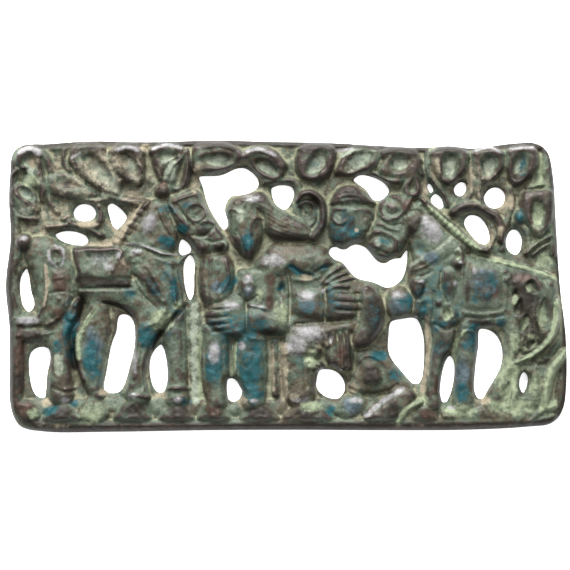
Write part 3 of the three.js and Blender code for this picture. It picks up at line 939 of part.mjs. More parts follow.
// A plane triangulation that takes one point after another and keeps the triangles well shaped.
class Triangulation {
  constructor() {
    this.points = [[-900, -900, 0], [900, -900, 0], [0, 1200, 0]];
    this.corner = [0, 1, 2];
    this.twin = [-1, -1, -1];
    this.locked = new Set();
    this.last = 0;
  }

  static next(e) {
    return e % 3 === 2 ? e - 2 : e + 1;
  }

  static previous(e) {
    return e % 3 === 0 ? e + 2 : e - 1;
  }

  static turn([ax, ay], [bx, by], [cx, cy]) {
    return (bx - ax) * (cy - ay) - (by - ay) * (cx - ax);
  }

  key(a, b) {
    return Math.min(a, b) * 100000 + Math.max(a, b);
  }

  locate(point) {
    let t = this.last;
    for (;;) {
      const out = [0, 1, 2].find((k) => {
        const a = this.points[this.corner[3 * t + k]];
        const b = this.points[this.corner[3 * t + ((k + 1) % 3)]];
        return Triangulation.turn(a, b, point) < 0;
      });
      if (out === undefined) return t;
      t = Math.floor(this.twin[3 * t + out] / 3);
    }
  }

  link(e, other) {
    this.twin[e] = other;
    if (other >= 0) this.twin[other] = e;
  }

  insert(point) {
    const t = this.locate(point);
    const p = this.points.push(point) - 1;
    const [a, b, c] = this.corner.slice(3 * t, 3 * t + 3);
    const [, bc, ca] = this.twin.slice(3 * t, 3 * t + 3);
    const u = this.corner.length / 3;
    this.corner[3 * t + 2] = p;
    this.corner.push(b, c, p, c, a, p);
    this.twin.push(-1, -1, -1, -1, -1, -1);
    this.link(3 * u, bc);
    this.link(3 * u + 3, ca);
    this.link(3 * t + 1, 3 * u + 2);
    this.link(3 * u + 1, 3 * u + 5);
    this.link(3 * u + 4, 3 * t + 2);
    this.last = t;
    this.settle([3 * t, 3 * u, 3 * u + 3]);
    return p;
  }

  // Turns the edge of each pair of triangles whose other diagonal suits them better.
  settle(stack) {
    while (stack.length) {
      const e = stack.pop();
      const o = this.twin[e];
      if (o < 0) continue;
      const ends = [this.corner[e], this.corner[Triangulation.next(e)]];
      if (this.locked.has(this.key(...ends))) continue;
      const p = this.corner[Triangulation.previous(e)];
      const q = this.corner[Triangulation.previous(o)];
      if (!this.within(ends[0], ends[1], p, q)) continue;
      const t = e - (e % 3);
      const u = o - (o % 3);
      const [afterE, afterO] = [e, o].map((side) => this.twin[Triangulation.next(side)]);
      const [beforeE, beforeO] = [e, o].map((side) => this.twin[Triangulation.previous(side)]);
      [this.corner[t], this.corner[t + 1], this.corner[t + 2]] = [ends[0], q, p];
      [this.corner[u], this.corner[u + 1], this.corner[u + 2]] = [q, ends[1], p];
      this.link(t, afterO);
      this.link(t + 2, beforeE);
      this.link(u, beforeO);
      this.link(u + 1, afterE);
      this.link(t + 1, u + 2);
      stack.push(t, u);
    }
  }

  // Whether the point d lies inside the circle through a, b and c.
  within(a, b, c, d) {
    const [dx, dy] = this.points[d];
    const [[ax, ay], [bx, by], [cx, cy]] = [a, b, c].map((k) => {
      const [x, y] = this.points[k];
      return [x - dx, y - dy];
    });
    const value =
      (ax * ax + ay * ay) * (bx * cy - cx * by) -
      (bx * bx + by * by) * (ax * cy - cx * ay) +
      (cx * cx + cy * cy) * (ax * by - bx * ay);
    return value > 1e-7;
  }

  // Adds closed loops of points, and halves their edges until each is an edge of the triangulation.
  addLoops(loops) {
    const rings = loops.map((loop) => loop.map((point) => this.insert(point)));
    for (;;) {
      const edges = new Set(this.corner.map((a, e) => this.key(a, this.corner[Triangulation.next(e)])));
      let missing = 0;
      rings.forEach((members, r) => {
        rings[r] = members.flatMap((a, k) => {
          const b = members[(k + 1) % members.length];
          if (edges.has(this.key(a, b))) return [a];
          missing += 1;
          return [a, this.insert([0, 1, 2].map((i) => (this.points[a][i] + this.points[b][i]) / 2))];
        });
      });
      if (!missing) break;
    }
    rings.forEach((members) => {
      members.forEach((a, k) => this.locked.add(this.key(a, members[(k + 1) % members.length])));
    });
    return rings;
  }

  // The triangles between the outer loop and the openings, found by crossing edges from outside.
  kept() {
    const side = new Int8Array(this.corner.length / 3).fill(-1);
    const first = this.corner.findIndex((a) => a < 3);
    side[(first - (first % 3)) / 3] = 0;
    const waiting = [(first - (first % 3)) / 3];
    while (waiting.length) {
      const t = waiting.pop();
      for (let e = 3 * t; e < 3 * t + 3; e += 1) {
        const other = Math.floor(this.twin[e] / 3);
        if (this.twin[e] < 0 || side[other] >= 0) continue;
        const crossed = this.locked.has(this.key(this.corner[e], this.corner[Triangulation.next(e)]));
        side[other] = crossed ? 1 - side[t] : side[t];
        waiting.push(other);
      }
    }
    const inner = Array.from(side.keys()).filter((t) => side[t] === 1);
    return inner.map((t) => this.corner.slice(3 * t, 3 * t + 3));
  }
}

// The place in a triangle where the heights leave its plane most, measured across the surface.
function worst(relief, [a, b, c]) {
  const area = Triangulation.turn(a, b, c);
  const slopeX = ((b[2] - a[2]) * (c[1] - a[1]) - (c[2] - a[2]) * (b[1] - a[1])) / area;
  const slopeY = ((c[2] - a[2]) * (b[0] - a[0]) - (b[2] - a[2]) * (c[0] - a[0])) / area;
  const lean = Math.sqrt(1 + slopeX ** 2 + slopeY ** 2);
  let found = [0, 0, 0];
  relief.each(boxOf([a, b, c], 0), (i, x, y) => {
    if (relief.depth[i] < NEAREST) return;
    if (Triangulation.turn(a, b, [x, y]) <= 0) return;
    if (Triangulation.turn(b, c, [x, y]) <= 0 || Triangulation.turn(c, a, [x, y]) <= 0) return;
    const plane = a[2] + (x - a[0]) * slopeX + (y - a[1]) * slopeY;
    const error = Math.abs(relief.height[i] - plane) / lean;
    if (error > found[0]) found = [error, x, y];
  });
  return found;
}

function solidOf(relief, loops) {
  const net = new Triangulation();
  const rings = net.addLoops(loops.map((loop) => loop.map(([x, y]) => [x, y, EDGE])));
  const underside = net.kept();
  for (let r = 0; r < ROUNDS; r += 1) {
    const faces = net.kept();
    const found = faces.map((face) => worst(relief, face.map((k) => net.points[k])));
    const wanted = found.filter(([error]) => error > LEAST_ERROR).sort((p, q) => q[0] - p[0]);
    const share = r < ROUNDS - 1 ? FIRST_SHARE : 1;
    const room = Math.ceil(((TRIANGLES - faces.length) / 2) * share);
    wanted.slice(0, Math.min(room, Math.ceil(wanted.length / 2))).forEach(([, x, y]) => {
      const k = net.points.length;
      const px = x + SHAKE * Math.sin(k);
      const py = y + SHAKE * Math.cos(2 * k);
      net.insert([px, py, relief.at(px, py)]);
    });
  }
  const place = (k, low) => (low ? [net.points[k][0], net.points[k][1], 0] : net.points[k]);
  const faces = net.kept().map((face) => face.map((k) => place(k, false)));
  underside.forEach(([a, b, c]) => faces.push([place(a, true), place(c, true), place(b, true)]));
  rings.forEach((members) => {
    members.forEach((a, k) => {
      const b = members[(k + 1) % members.length];
      faces.push([place(a, true), place(b, true), place(b, false)]);
      faces.push([place(a, true), place(b, false), place(a, false)]);
    });
  });
  return faces;
}

// Loops run with the metal on their left: the outer edge anticlockwise, the openings clockwise.
function loopOf(points, step, anticlockwise) {
  const through = spline(points, true);
  const count = Math.max(10, Math.round(through.getLength() / step));
  const loop = through.getSpacedPoints(count).slice(1).map((p) => [p.x, p.y]);
  const around = loop.reduce((sum, [x, y], k) => {
    const [px, py] = loop[(k + loop.length - 1) % loop.length];
    return sum + px * y - x * py;
  }, 0);
  return around > 0 === anticlockwise ? loop : loop.reverse();
}

const loops = [
  loopOf(OUTLINE, OUTLINE_STEP, true),
  ...OPENINGS.map((points) => loopOf(points, OPENING_STEP, false)),
];
const relief = new Relief();
const parts = [new Rim(), new Canopy(), new LeftHorse(), new RightHorse(), new Wrestlers(), new Ground()];
for (const part of parts) {
  part.carve(relief);
}
relief.soften();
relief.roundEdges(loops);
const geometry = new THREE.BufferGeometry();
geometry.setAttribute("position", new THREE.Float32BufferAttribute(solidOf(relief, loops).flat(2), 3));
geometry.computeBoundingBox();
const middle = geometry.boundingBox.getCenter(new THREE.Vector3());
geometry.translate(-middle.x, -middle.y, 0);
geometry.computeVertexNormals();

const bronze = new THREE.MeshStandardMaterial({ color: "#4c5a4c", metalness: 0.6, roughness: 0.5 });
const plaque = new THREE.Mesh(geometry, bronze);
plaque.name = "plaque";
const group = new THREE.Group();
group.add(plaque);
export default group;
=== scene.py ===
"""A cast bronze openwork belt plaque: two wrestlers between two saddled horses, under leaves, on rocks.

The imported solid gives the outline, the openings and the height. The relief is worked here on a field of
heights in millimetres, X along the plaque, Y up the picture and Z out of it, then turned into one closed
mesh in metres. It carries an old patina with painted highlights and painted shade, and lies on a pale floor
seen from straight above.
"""

import logging
import math
from dataclasses import dataclass, field
from enum import Enum

import bpy
import numpy as np
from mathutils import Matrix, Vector

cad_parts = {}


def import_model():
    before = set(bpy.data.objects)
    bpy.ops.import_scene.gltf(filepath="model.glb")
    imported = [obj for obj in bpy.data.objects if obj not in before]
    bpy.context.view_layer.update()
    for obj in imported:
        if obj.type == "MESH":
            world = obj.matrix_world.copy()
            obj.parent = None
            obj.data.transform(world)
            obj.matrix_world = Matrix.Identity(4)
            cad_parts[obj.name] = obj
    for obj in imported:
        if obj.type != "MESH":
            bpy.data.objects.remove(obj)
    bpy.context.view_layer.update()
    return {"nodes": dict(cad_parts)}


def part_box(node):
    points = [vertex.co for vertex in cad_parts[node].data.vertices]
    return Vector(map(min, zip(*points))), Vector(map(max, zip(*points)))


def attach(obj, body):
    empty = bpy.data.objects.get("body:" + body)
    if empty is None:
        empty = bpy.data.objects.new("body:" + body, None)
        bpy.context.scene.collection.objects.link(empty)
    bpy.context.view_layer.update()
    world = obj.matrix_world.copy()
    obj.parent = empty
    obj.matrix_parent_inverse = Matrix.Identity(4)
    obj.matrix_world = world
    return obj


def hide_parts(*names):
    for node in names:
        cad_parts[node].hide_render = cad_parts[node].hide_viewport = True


log = logging.getLogger("plaque")

Point = tuple[float, float]
Points = tuple[Point, ...]
Number = float | tuple[float, ...]
Box = tuple[float, float, float, float]
Rise = tuple[np.ndarray, np.ndarray]
Colour = tuple[float, float, float]

MM = 0.001
GRID = 0.24  # spacing of the height field
MARGIN = 1.0  # of the field beyond the outline
DRAWING_MIDDLE: Point = (-0.4275, -0.2253)  # middle of the outline, in the drawing's own millimetres

WEB = 1.9  # metal between the figures
SOFT = 0.45  # the step between two forms that is filled where they meet
POINTED = 0.42  # how much narrower a leaf is towards its point
LEAF_POINTS = 28  # round the outline of a leaf
EDGE = 1.15  # metal at the rim of an opening
EDGE_ROUND = 1.9  # how far in from an edge the surface is rounded over
LEAST_CAP = 0.001  # the share of the relief that is kept at the very edge
BACK_ROUND = 0.35  # rounding of the lower edge
CREST = 0.5  # the highest part of the relief, which is pressed in under the solid's top
SOFTENED = 0.2  # how far the details of the drawing are evened out
LUMPS = ((0.35, 0.05), (0.9, 0.08))  # the unevenness of the casting, as sizes and heights
SEED = 7  # of the lumps


def ease(u: np.ndarray) -> np.ndarray:
    """Smooth step of a share from 0 to 1."""
    return u * u * (3.0 - 2.0 * u)


def bulge(u: np.ndarray) -> np.ndarray:
    """Round rise of a share from 0 to 1, steep at the foot and flat at the top."""
    return np.sqrt(np.clip(u * (2.0 - u), 0.0, 1.0))


def along(value: Number, t: np.ndarray) -> np.ndarray:
    """A number, or a run of numbers spread evenly over a path.

    Args:
        value: the number or the run.
        t: shares of the way along.

    Returns:
        The value at each share.
    """
    if isinstance(value, (int, float)):
        return np.full_like(t, float(value))
    return np.interp(t, np.linspace(0.0, 1.0, len(value)), value)


def smooth_curve(points: Points, closed: bool, per_span: int = 4) -> np.ndarray:
    """A centripetal Catmull-Rom curve through points.

    Args:
        points: the points it passes through.
        closed: whether it returns to the first point.
        per_span: how many points are given for each span.

    Returns:
        The points along it, without a repeat of the first one where it is closed.
    """
    p = np.array(points, float)
    if closed:
        p = np.vstack([p[-1], p, p[:2]])
    else:
        p = np.vstack([2 * p[0] - p[1], p, 2 * p[-1] - p[-2]])
    p0, p1, p2, p3 = p[:-3], p[1:-2], p[2:-1], p[3:]
    d0, d1, d2 = (np.maximum(np.linalg.norm(b - a, axis=1), 1e-4)[:, None] ** 0.5
                  for a, b in ((p0, p1), (p1, p2), (p2, p3)))
    m1 = ((p1 - p0) / d0 - (p2 - p0) / (d0 + d1) + (p2 - p1) / d1) * d1
    m2 = ((p2 - p1) / d1 - (p3 - p1) / (d1 + d2) + (p3 - p2) / d2) * d1
    t = (np.arange(per_span) / per_span)[None, :, None]
    a, b, m, n = p1[:, None], p2[:, None], m1[:, None], m2[:, None]
    spans = a + m * t + (3 * (b - a) - 2 * m - n) * t**2 + (2 * (a - b) + m + n) * t**3
    line = spans.reshape(-1, 2)
    return line if closed else np.vstack([line, p2[-1:]])


def box_of(points: np.ndarray, margin: float) -> Box:
    """The box round points, with a margin."""
    low, high = points.min(0) - margin, points.max(0) + margin
    return (low[0], low[1], high[0], high[1])


def nearest(path: np.ndarray, x: np.ndarray, y: np.ndarray) -> Rise:
    """The nearest place of a path.

    Args:
        path: the points of the path.
        x: the places along the plaque.
        y: the places up the picture.

    Returns:
        For each place the distance to the path, and the share of the way along it.
    """
    best = np.full(x.shape, np.inf)
    share = np.zeros(x.shape)
    for i, ((ax, ay), (bx, by)) in enumerate(zip(path[:-1], path[1:])):
        dx, dy = bx - ax, by - ay
        t = np.clip(((x - ax) * dx + (y - ay) * dy) / max(dx * dx + dy * dy, 1e-9), 0.0, 1.0)
        away = np.hypot(x - ax - t * dx, y - ay - t * dy)
        closer = away < best
        best = np.where(closer, away, best)
        share = np.where(closer, (i + t) / (len(path) - 1), share)
    return best, share


def inside(loop: np.ndarray, x: np.ndarray, y: np.ndarray) -> np.ndarray:
    """Which places a closed loop holds.

    Args:
        loop: its points.
        x: the places along the plaque.
        y: the places up the picture.

    Returns:
        Whether each place lies inside.
    """
    within = np.zeros(x.shape, bool)
    for (ax, ay), (bx, by) in zip(loop, np.roll(loop, 1, axis=0)):
        if ay != by:
            within ^= ((ay > y) != (by > y)) & (x < (bx - ax) * (y - ay) / (by - ay) + ax)
    return within


def turned(degrees: float) -> Point:
    """The cosine and the sine of an angle in degrees."""
    return math.cos(math.radians(degrees)), math.sin(math.radians(degrees))


@dataclass(frozen=True)
class Line:
    """A stroke along a curve, with a width that may change along it."""

    points: Points
    width: Number

    def box(self) -> Box:
        """The box that it can reach."""
        widest = self.width if isinstance(self.width, (int, float)) else max(self.width)
        return box_of(smooth_curve(self.points, False), widest / 2)

    def rise(self, x: np.ndarray, y: np.ndarray) -> Rise:
        """Share of full rise, and share of the way along."""
        away, t = nearest(smooth_curve(self.points, False), x, y)
        return 1.0 - away / (along(self.width, t) / 2), t


@dataclass(frozen=True)
class Oval:
    """An oval mound, turned by some degrees."""

    x: float
    y: float
    rx: float
    ry: float
    turn: float = 0.0

    def box(self) -> Box:
        """The box that it can reach."""
        reach = max(self.rx, self.ry)
        return (self.x - reach, self.y - reach, self.x + reach, self.y + reach)

    def rise(self, x: np.ndarray, y: np.ndarray) -> Rise:
        """How far it has risen at each place.

        Args:
            x: the places along the plaque.
            y: the places up the picture.

        Returns:
            Share of full rise, and a share along of 0.
        """
        c, s = turned(self.turn)
        u = ((x - self.x) * c + (y - self.y) * s) / self.rx
        v = ((y - self.y) * c - (x - self.x) * s) / self.ry
        return 1.0 - np.hypot(u, v), np.zeros(x.shape)


@dataclass(frozen=True)
class Ring:
    """A round ridge."""

    x: float
    y: float
    radius: float
    width: float

    def box(self) -> Box:
        """The box that it can reach."""
        reach = self.radius + self.width / 2
        return (self.x - reach, self.y - reach, self.x + reach, self.y + reach)

    def rise(self, x: np.ndarray, y: np.ndarray) -> Rise:
        """Share of full rise, and a share along of 0."""
        away = np.abs(np.hypot(x - self.x, y - self.y) - self.radius)
        return 1.0 - away / (self.width / 2), np.zeros(x.shape)


class Closed:
    """A closed form, which rises from its outline over the distance edge."""

    edge: float

    def loop(self) -> np.ndarray:
        """Its outline."""
        raise NotImplementedError

    def box(self) -> Box:
        """The box that it can reach."""
        return box_of(self.loop(), 0.0)

    def rise(self, x: np.ndarray, y: np.ndarray) -> Rise:
        """How far it has risen at each place.

        Args:
            x: the places along the plaque.
            y: the places up the picture.

        Returns:
            Share of full rise, and a share along of 0.
        """
        loop = self.loop()
        away = nearest(np.vstack([loop, loop[:1]]), x, y)[0]
        share = np.where(inside(loop, x, y), np.minimum(away / self.edge, 1.0), -1.0)
        return share, np.zeros(x.shape)


@dataclass(frozen=True)
class Pad(Closed):
    """A closed form through a few points."""

    points: Points
    edge: float

    def loop(self) -> np.ndarray:
        """Its outline."""
        return smooth_curve(self.points, True)


@dataclass(frozen=True)
class Drop(Closed):
    """A leaf's form, round at one end and pointed at the other, with the point towards turn."""

    x: float
    y: float
    long: float
    wide: float
    turn: float
    edge: float = 1.5

    def loop(self) -> np.ndarray:
        """Its outline.

        Returns:
            The points round it.
        """
        c, s = turned(self.turn)
        a = np.linspace(0.0, 2 * math.pi, LEAF_POINTS, endpoint=False)
        u = self.long / 2 * np.cos(a)
        v = self.wide / 2 * np.sin(a) * (1 - POINTED * np.cos(a))
        return np.stack([self.x + u * c - v * s, self.y + u * s + v * c], axis=1)


Mark = Line | Oval | Ring | Closed


def blurred(z: np.ndarray, sigma: float) -> np.ndarray:
    """A Gaussian blur of a field, with its border held.

    Args:
        z: the field.
        sigma: the reach of the blur, in places.

    Returns:
        The field, evened out.
    """
    reach = max(1, int(math.ceil(3 * sigma)))
    weights = np.exp(-0.5 * (np.arange(-reach, reach + 1) / max(sigma, 1e-3)) ** 2)
    weights /= weights.sum()
    for axis in (0, 1):
        padded = np.pad(z, [(reach, reach) if a == axis else (0, 0) for a in (0, 1)], mode="edge")
        size = z.shape[axis]
        z = sum(w * np.take(padded, range(k, k + size), axis=axis) for k, w in enumerate(weights))
    return z


class Relief:
    """The field of heights over the back, in the drawing's millimetres."""

    def __init__(self, low: Point, high: Point, step: float) -> None:
        """Lays out the field.

        Args:
            low: its lower left corner.
            high: its upper right corner.
            step: the spacing of its places.
        """
        self.step = step
        self.x = np.arange(low[0], high[0] + step, step)
        self.y = np.arange(low[1], high[1] + step, step)
        self.z = np.full((len(self.y), len(self.x)), WEB)
        self.drawn = self.z
        self.bowls: list[Mark] = []

    def places(self, box: Box) -> tuple[slice, slice]:
        """The rows and the columns of the field within a box."""
        x0, y0, x1, y1 = box
        return slice(*np.searchsorted(self.y, (y0, y1))), slice(*np.searchsorted(self.x, (x0, x1)))

    def reached(self, mark: Mark) -> tuple[tuple[slice, slice], np.ndarray, np.ndarray]:
        """What a mark does to the part of the field that it can reach.

        Args:
            mark: the mark.

        Returns:
            That part's rows and columns, the share of full rise there, and the share of the way along.
        """
        rows, columns = self.places(mark.box())
        x, y = np.meshgrid(self.x[columns], self.y[rows])
        return (rows, columns), *mark.rise(x, y)

    def soften(self, reach: float) -> None:
        """Evens the surface out over a reach, as cast metal is."""
        self.z = blurred(self.z, reach / self.step)

    def roughen(self, size: float, amount: float) -> None:
        """Adds the unevenness of a casting, with lumps of about a size."""
        lumps = blurred(np.random.default_rng(SEED).standard_normal(self.z.shape), size / self.step)
        self.z = self.z + amount * lumps / lumps.std()

    def read(self, values: np.ndarray, x: np.ndarray, y: np.ndarray) -> np.ndarray:
        """Values of a field at places between its own.

        Args:
            values: the field.
            x: the places along the plaque.
            y: the places up the picture.

        Returns:
            The values there.
        """
        u = np.clip((x - self.x[0]) / self.step, 0, len(self.x) - 1.001)
        v = np.clip((y - self.y[0]) / self.step, 0, len(self.y) - 1.001)
        i, j = u.astype(int), v.astype(int)
        u, v = u - i, v - j
        low = values[j, i] * (1 - u) + values[j, i + 1] * u
        return low * (1 - v) + (values[j + 1, i] * (1 - u) + values[j + 1, i + 1] * u) * v


@dataclass
class Carving:
    """A part of the drawing, with the strokes that it is worked with.

    Args:
        relief: the field that it is worked on.
    """

    relief: Relief

    def carve(self) -> None:
        """Draws the part."""
        raise NotImplementedError

    def lift(self, mark: Mark, top: Number, soft: float = SOFT) -> None:
        """Raises a rounded form over the back, joined softly to what is there.

        Args:
            mark: the form.
            top: its height, or its heights along the way.
            soft: the step to what is there that is filled.
        """
        part, u, t = self.relief.reached(mark)
        here = self.relief.z[part]
        z = WEB + (along(top, t) - WEB) * bulge(np.clip(u, 0.0, 1.0))
        gap = np.clip(1.0 - np.abs(z - here) / soft, 0.0, 1.0)
        joined = np.maximum(z, here) + soft / 4 * gap**2 * np.clip(4 * u, 0.0, 1.0)
        self.relief.z[part] = np.where(u > 0, joined, here)

    def swell(self, mark: Mark, amount: Number) -> None:
        """Adds to the surface, or cuts into it where the amount is below zero."""
        part, u, t = self.relief.reached(mark)
        self.relief.z[part] += along(amount, t) * ease(np.clip(u, 0.0, 1.0))

    def sink(self, mark: Mark, floor: float, slope: float = 0.5) -> None:
        """Brings the surface to a floor inside the mark, over the share slope of its rise.

        Args:
            mark: the form.
            floor: the height that it is brought to.
            slope: the share of the form's rise that its sides take.
        """
        part, u, _ = self.relief.reached(mark)
        z = self.relief.z
        z[part] += (floor - z[part]) * ease(np.clip(u / slope, 0.0, 1.0))

    def stroke(self, points: Points, width: Number, top: Number, soft: float = SOFT) -> None:
        """Lifts a rounded bar along a curve."""
        self.lift(Line(points, width), top, soft)

    def form(self, points: Points, edge: float, top: float, soft: float = SOFT) -> None:
        """Lifts a closed form."""
        self.lift(Pad(points, edge), top, soft)

    def ridge(self, points: Points, width: Number, amount: Number) -> None:
        """Adds a ridge along a curve, or a groove where the amount is below zero."""
        self.swell(Line(points, width), amount)

    def ear(self, outer: Drop, inner: Drop, floor: float, top: float) -> None:
        """Lifts a horse's ear, with a rounded rim and a sunken middle."""
        self.lift(outer, top)
        self.sink(inner, floor, 1.0)


@dataclass
class Rim(Carving):
    """The plain rim round the plaque, wider at the left and along the foot."""

    height: float = 3.4
    width: float = 3.0

    def carve(self) -> None:
        """Draws the rim."""
        w, z = self.width, self.height
        self.stroke(((-68.4, 33), (-68.3, 20), (-68, 12)), (w - 0.4, w, w - 0.4), z)
        self.stroke(((-68, 13), (-69, 5), (-69.3, -1), (-68, -8), (-67.8, -20), (-67.8, -33)), w + 0.4,
                    z + 0.3)
        self.stroke(((-67, -34.7), (-30, -34.9), (0, -34.4), (30, -34.6), (66, -33.4)), w + 0.4, z + 0.2)
        self.stroke(((64.8, 33), (65.4, 20), (66.4, 8)), (w, w, w - 0.8), z)
        self.stroke(((-67.5, 34), (-30, 35.4), (10, 35), (40, 34), (63, 34.6)), w - 1.6, z - 1)


@dataclass
class Canopy(Carving):
    """The band of leaves like cups over the figures, with the twigs that join them."""

    twig: float = 3.4
    leaf: float = 4.5
    spread: float = 0.2  # how much further a bowl reaches than it is drawn
    slope: float = 0.65  # the share of a bowl that its sides take

    def carve(self) -> None:
        """Draws the twigs, then the leaves."""
        self.twigs()
        self.left_leaves()
        self.middle_leaves()
        self.right_leaves()
        self.hoods()

    def twigs(self) -> None:
        """Draws the stalks and twigs, each a curve with its width and its height over a plain twig."""
        for points, width, extra in (
            (((-61.7, 34.4), (-60, 31.4), (-58.9, 28.4)), 2.2, 0.4),
            (((-58, 27.5), (-59.8, 25.5), (-59.3, 21), (-57.5, 18.5)), 1.6, 0),
            (((-55.8, 34), (-55.9, 31), (-54.6, 28.6)), 1.2, 0),
            (((-56.2, 22.4), (-52.5, 22), (-48.6, 21), (-45.5, 21.4)), 1.9, 0.3),
            (((-56, 16.5), (-54.5, 17.2)), 1.6, 0),
            (((-54.4, 15.8), (-51.5, 15), (-48, 14.9), (-46.6, 17), (-47.2, 19.5)), 2, 0.3),
            (((-69, 18.9), (-66.6, 17), (-63, 16.6)), 1.5, 0.3),
            (((-60, 14.7), (-54, 14.9), (-49, 13.7), (-46.5, 12.5)), 1.6, 0),
            (((-46, 22.5), (-42, 21.3), (-36, 20.6)), 2.4, 0.1),
            (((-5.5, 25.8), (-1.5, 26), (2.2, 25.5), (2.6, 21)), 2, 0),
            (((34.6, 33.4), (34.8, 28.6), (36.4, 25.6), (38.7, 22.8), (39.9, 20)), 1.6, -0.2),
            (((45, 33), (45.6, 29), (45.9, 24), (44.5, 21.5), (42.6, 20.4)), 1.5, 0),
            (((41.4, 18.4), (44, 19.9), (47.8, 19.6), (50.6, 18), (52.6, 15.4), (53.4, 11.6)), 2.7, 0.8),
            (((47.2, 26.4), (47.6, 22.8), (48.4, 20.2)), 2, 0.5),
            (((50.7, 15), (51.3, 12), (50.2, 9.4)), 1.2, -0.2),
            (((55.5, 24), (56, 20.4), (54.6, 16), (53.6, 9)), 1.6, -0.6),
            (((59.4, 8), (62, 10.6), (65.6, 12.4)), 1.3, 0.4),
            (((61, 7.6), (63.4, 9.6), (66.2, 10.8)), 1.0, 0),
            (((57, 15.5), (59.6, 13), (60, 9)), 1.8, -0.2),
        ):
            self.stroke(points, width, self.twig + extra)

    def left_leaves(self) -> None:
        """Draws the leaves over the left horse."""
        self.form(((-68.6, 31), (-67, 34), (-63.8, 34.9), (-61.4, 33), (-60.6, 28), (-59.6, 23.4),
                   (-61.4, 20.6), (-63, 25), (-66, 28.6)), 1.8, self.leaf + 0.2)
        self.hollow((-64.2, 30.2, 7.6, 4.6, -75), 2.9)
        self.ridge(((-68.8, 27.4), (-67.2, 28.8), (-65.2, 29.4)), 1.6, 1.2)
        self.ridge(((-61.8, 30.4), (-61, 27.2), (-60, 23.6)), 1.1, 0.5)
        self.lift(Oval(-64.4, 26, 2.4, 2.1), self.leaf - 0.9)
        self.swell(Oval(-67.1, 25.4, 1.5, 2.4), -1.2)
        self.lift(Drop(-65.5, 21.4, 9.4, 6.4, -42, 1.6), self.leaf - 0.2)
        self.hollow((-65.2, 22.8, 5.6, 3, -42), 2.6)
        self.ridge(((-67.4, 22.6), (-65.4, 21.4), (-63, 19)), 1.6, 0.5)
        self.ridge(((-69.2, 20.4), (-66.6, 18.5), (-63.2, 17.8)), 1, -0.4)
        self.form(((-60.6, 27.2), (-57, 28.4), (-53, 27.6), (-49.6, 25), (-47.2, 22.4), (-51, 21.2),
                   (-56, 21.6), (-60, 23.4)), 1.7, self.leaf - 0.3)
        self.sink(Drop(-54.6, 25.2, 8.2, 4.2, -16, 2.1), 3.2, 0.9)
        for outer, inner, floor in (
            ((-47.5, 28.9, 17.2, 8.8, -50), (-46.9, 28.3, 14.6, 5, -51), 3),
            ((-39.8, 30.2, 12.4, 9.2, -62), (-39.6, 30, 8.6, 5.2, -62), 2.9),
            ((-30, 30.6, 11.6, 8.4, -98), (-29.6, 32.6, 5, 5.4, -98), 3),
        ):
            self.lift(Drop(*outer, 2), self.leaf + 0.3)
            self.hollow(inner, floor)
        self.ridge(((-54.8, 29), (-50, 25), (-46.2, 22)), 1, 0.4)
        self.lift(Oval(-42.8, 25.4, 1.8, 3.2, -35), self.leaf - 0.2)
        self.lift(Oval(-65.4, 18.8, 3.2, 1.8, -10), self.leaf - 0.6)
        self.ridge(((-31.8, 26.6), (-31.2, 29), (-29.9, 31), (-27.4, 32)), 1.2, 1)
        self.ridge(((-29.7, 27.6), (-28.5, 30), (-25.4, 31.9)), 1.2, 1)
        self.ridge(((-30.7, 27), (-30, 29.6), (-28, 31.4)), 0.8, -0.6)

    def middle_leaves(self) -> None:
        """Draws the leaves over the wrestlers."""
        self.form(((-23.8, 28), (-23.6, 35), (-17.5, 36), (-12.6, 34.6), (-10.4, 32), (-12, 30.4),
                   (-16.4, 28.2), (-20, 27.4)), 1.8, self.leaf)
        self.hollow((-17.2, 31.1, 10.6, 4, -2), 2.7)
        self.stroke(((-20.6, 34.2), (-17, 34.8), (-13.6, 33.8), (-11.2, 32)), 2.4, self.leaf + 0.2)
        self.form(((-11, 33), (-8.4, 34.6), (-4.6, 34.2), (-1.4, 31.6), (-0.6, 28), (-2.6, 26), (-6.4, 26.4),
                   (-9.4, 29.8)), 1.8, self.leaf - 0.2)
        self.stroke(((-10.4, 32.4), (-7.4, 33.4), (-4, 32.6), (-1.6, 29.8)), 3, self.leaf + 0.3)
        self.hollow((-5.4, 29.4, 8.6, 3.6, -28), 2.2)
        self.form(((1.7, 31), (3, 34.8), (7.5, 35.7), (11.6, 34.8), (11.8, 30), (9.6, 26.8), (6.2, 25.8),
                   (3, 26.6)), 1.8, self.leaf + 0.2)
        self.hollow((7.2, 30.5, 9, 4.8, -124), 2.8)
        self.lift(Oval(8.6, 27.6, 2.6, 1.6, 40), self.leaf - 0.4)
        for outer, inner, floor in (
            ((17.2, 31, 13, 7.8, -150), (17.4, 31, 11, 5.2, -148), 3.3),
            ((27.6, 30.2, 11.8, 9.2, 200), (27.9, 30.5, 6.8, 5, 215), 2.8),
        ):
            self.lift(Drop(*outer, 2), self.leaf + 0.3)
            self.hollow(inner, floor)
        self.stroke(((21.4, 27.6), (24.4, 26.2), (28, 26.2), (31.2, 28), (32.6, 31)), 2.2, self.leaf - 0.1)
        self.stroke(((31.6, 33), (32.6, 30.4), (33.4, 27.6)), 1.5, self.leaf - 0.5)

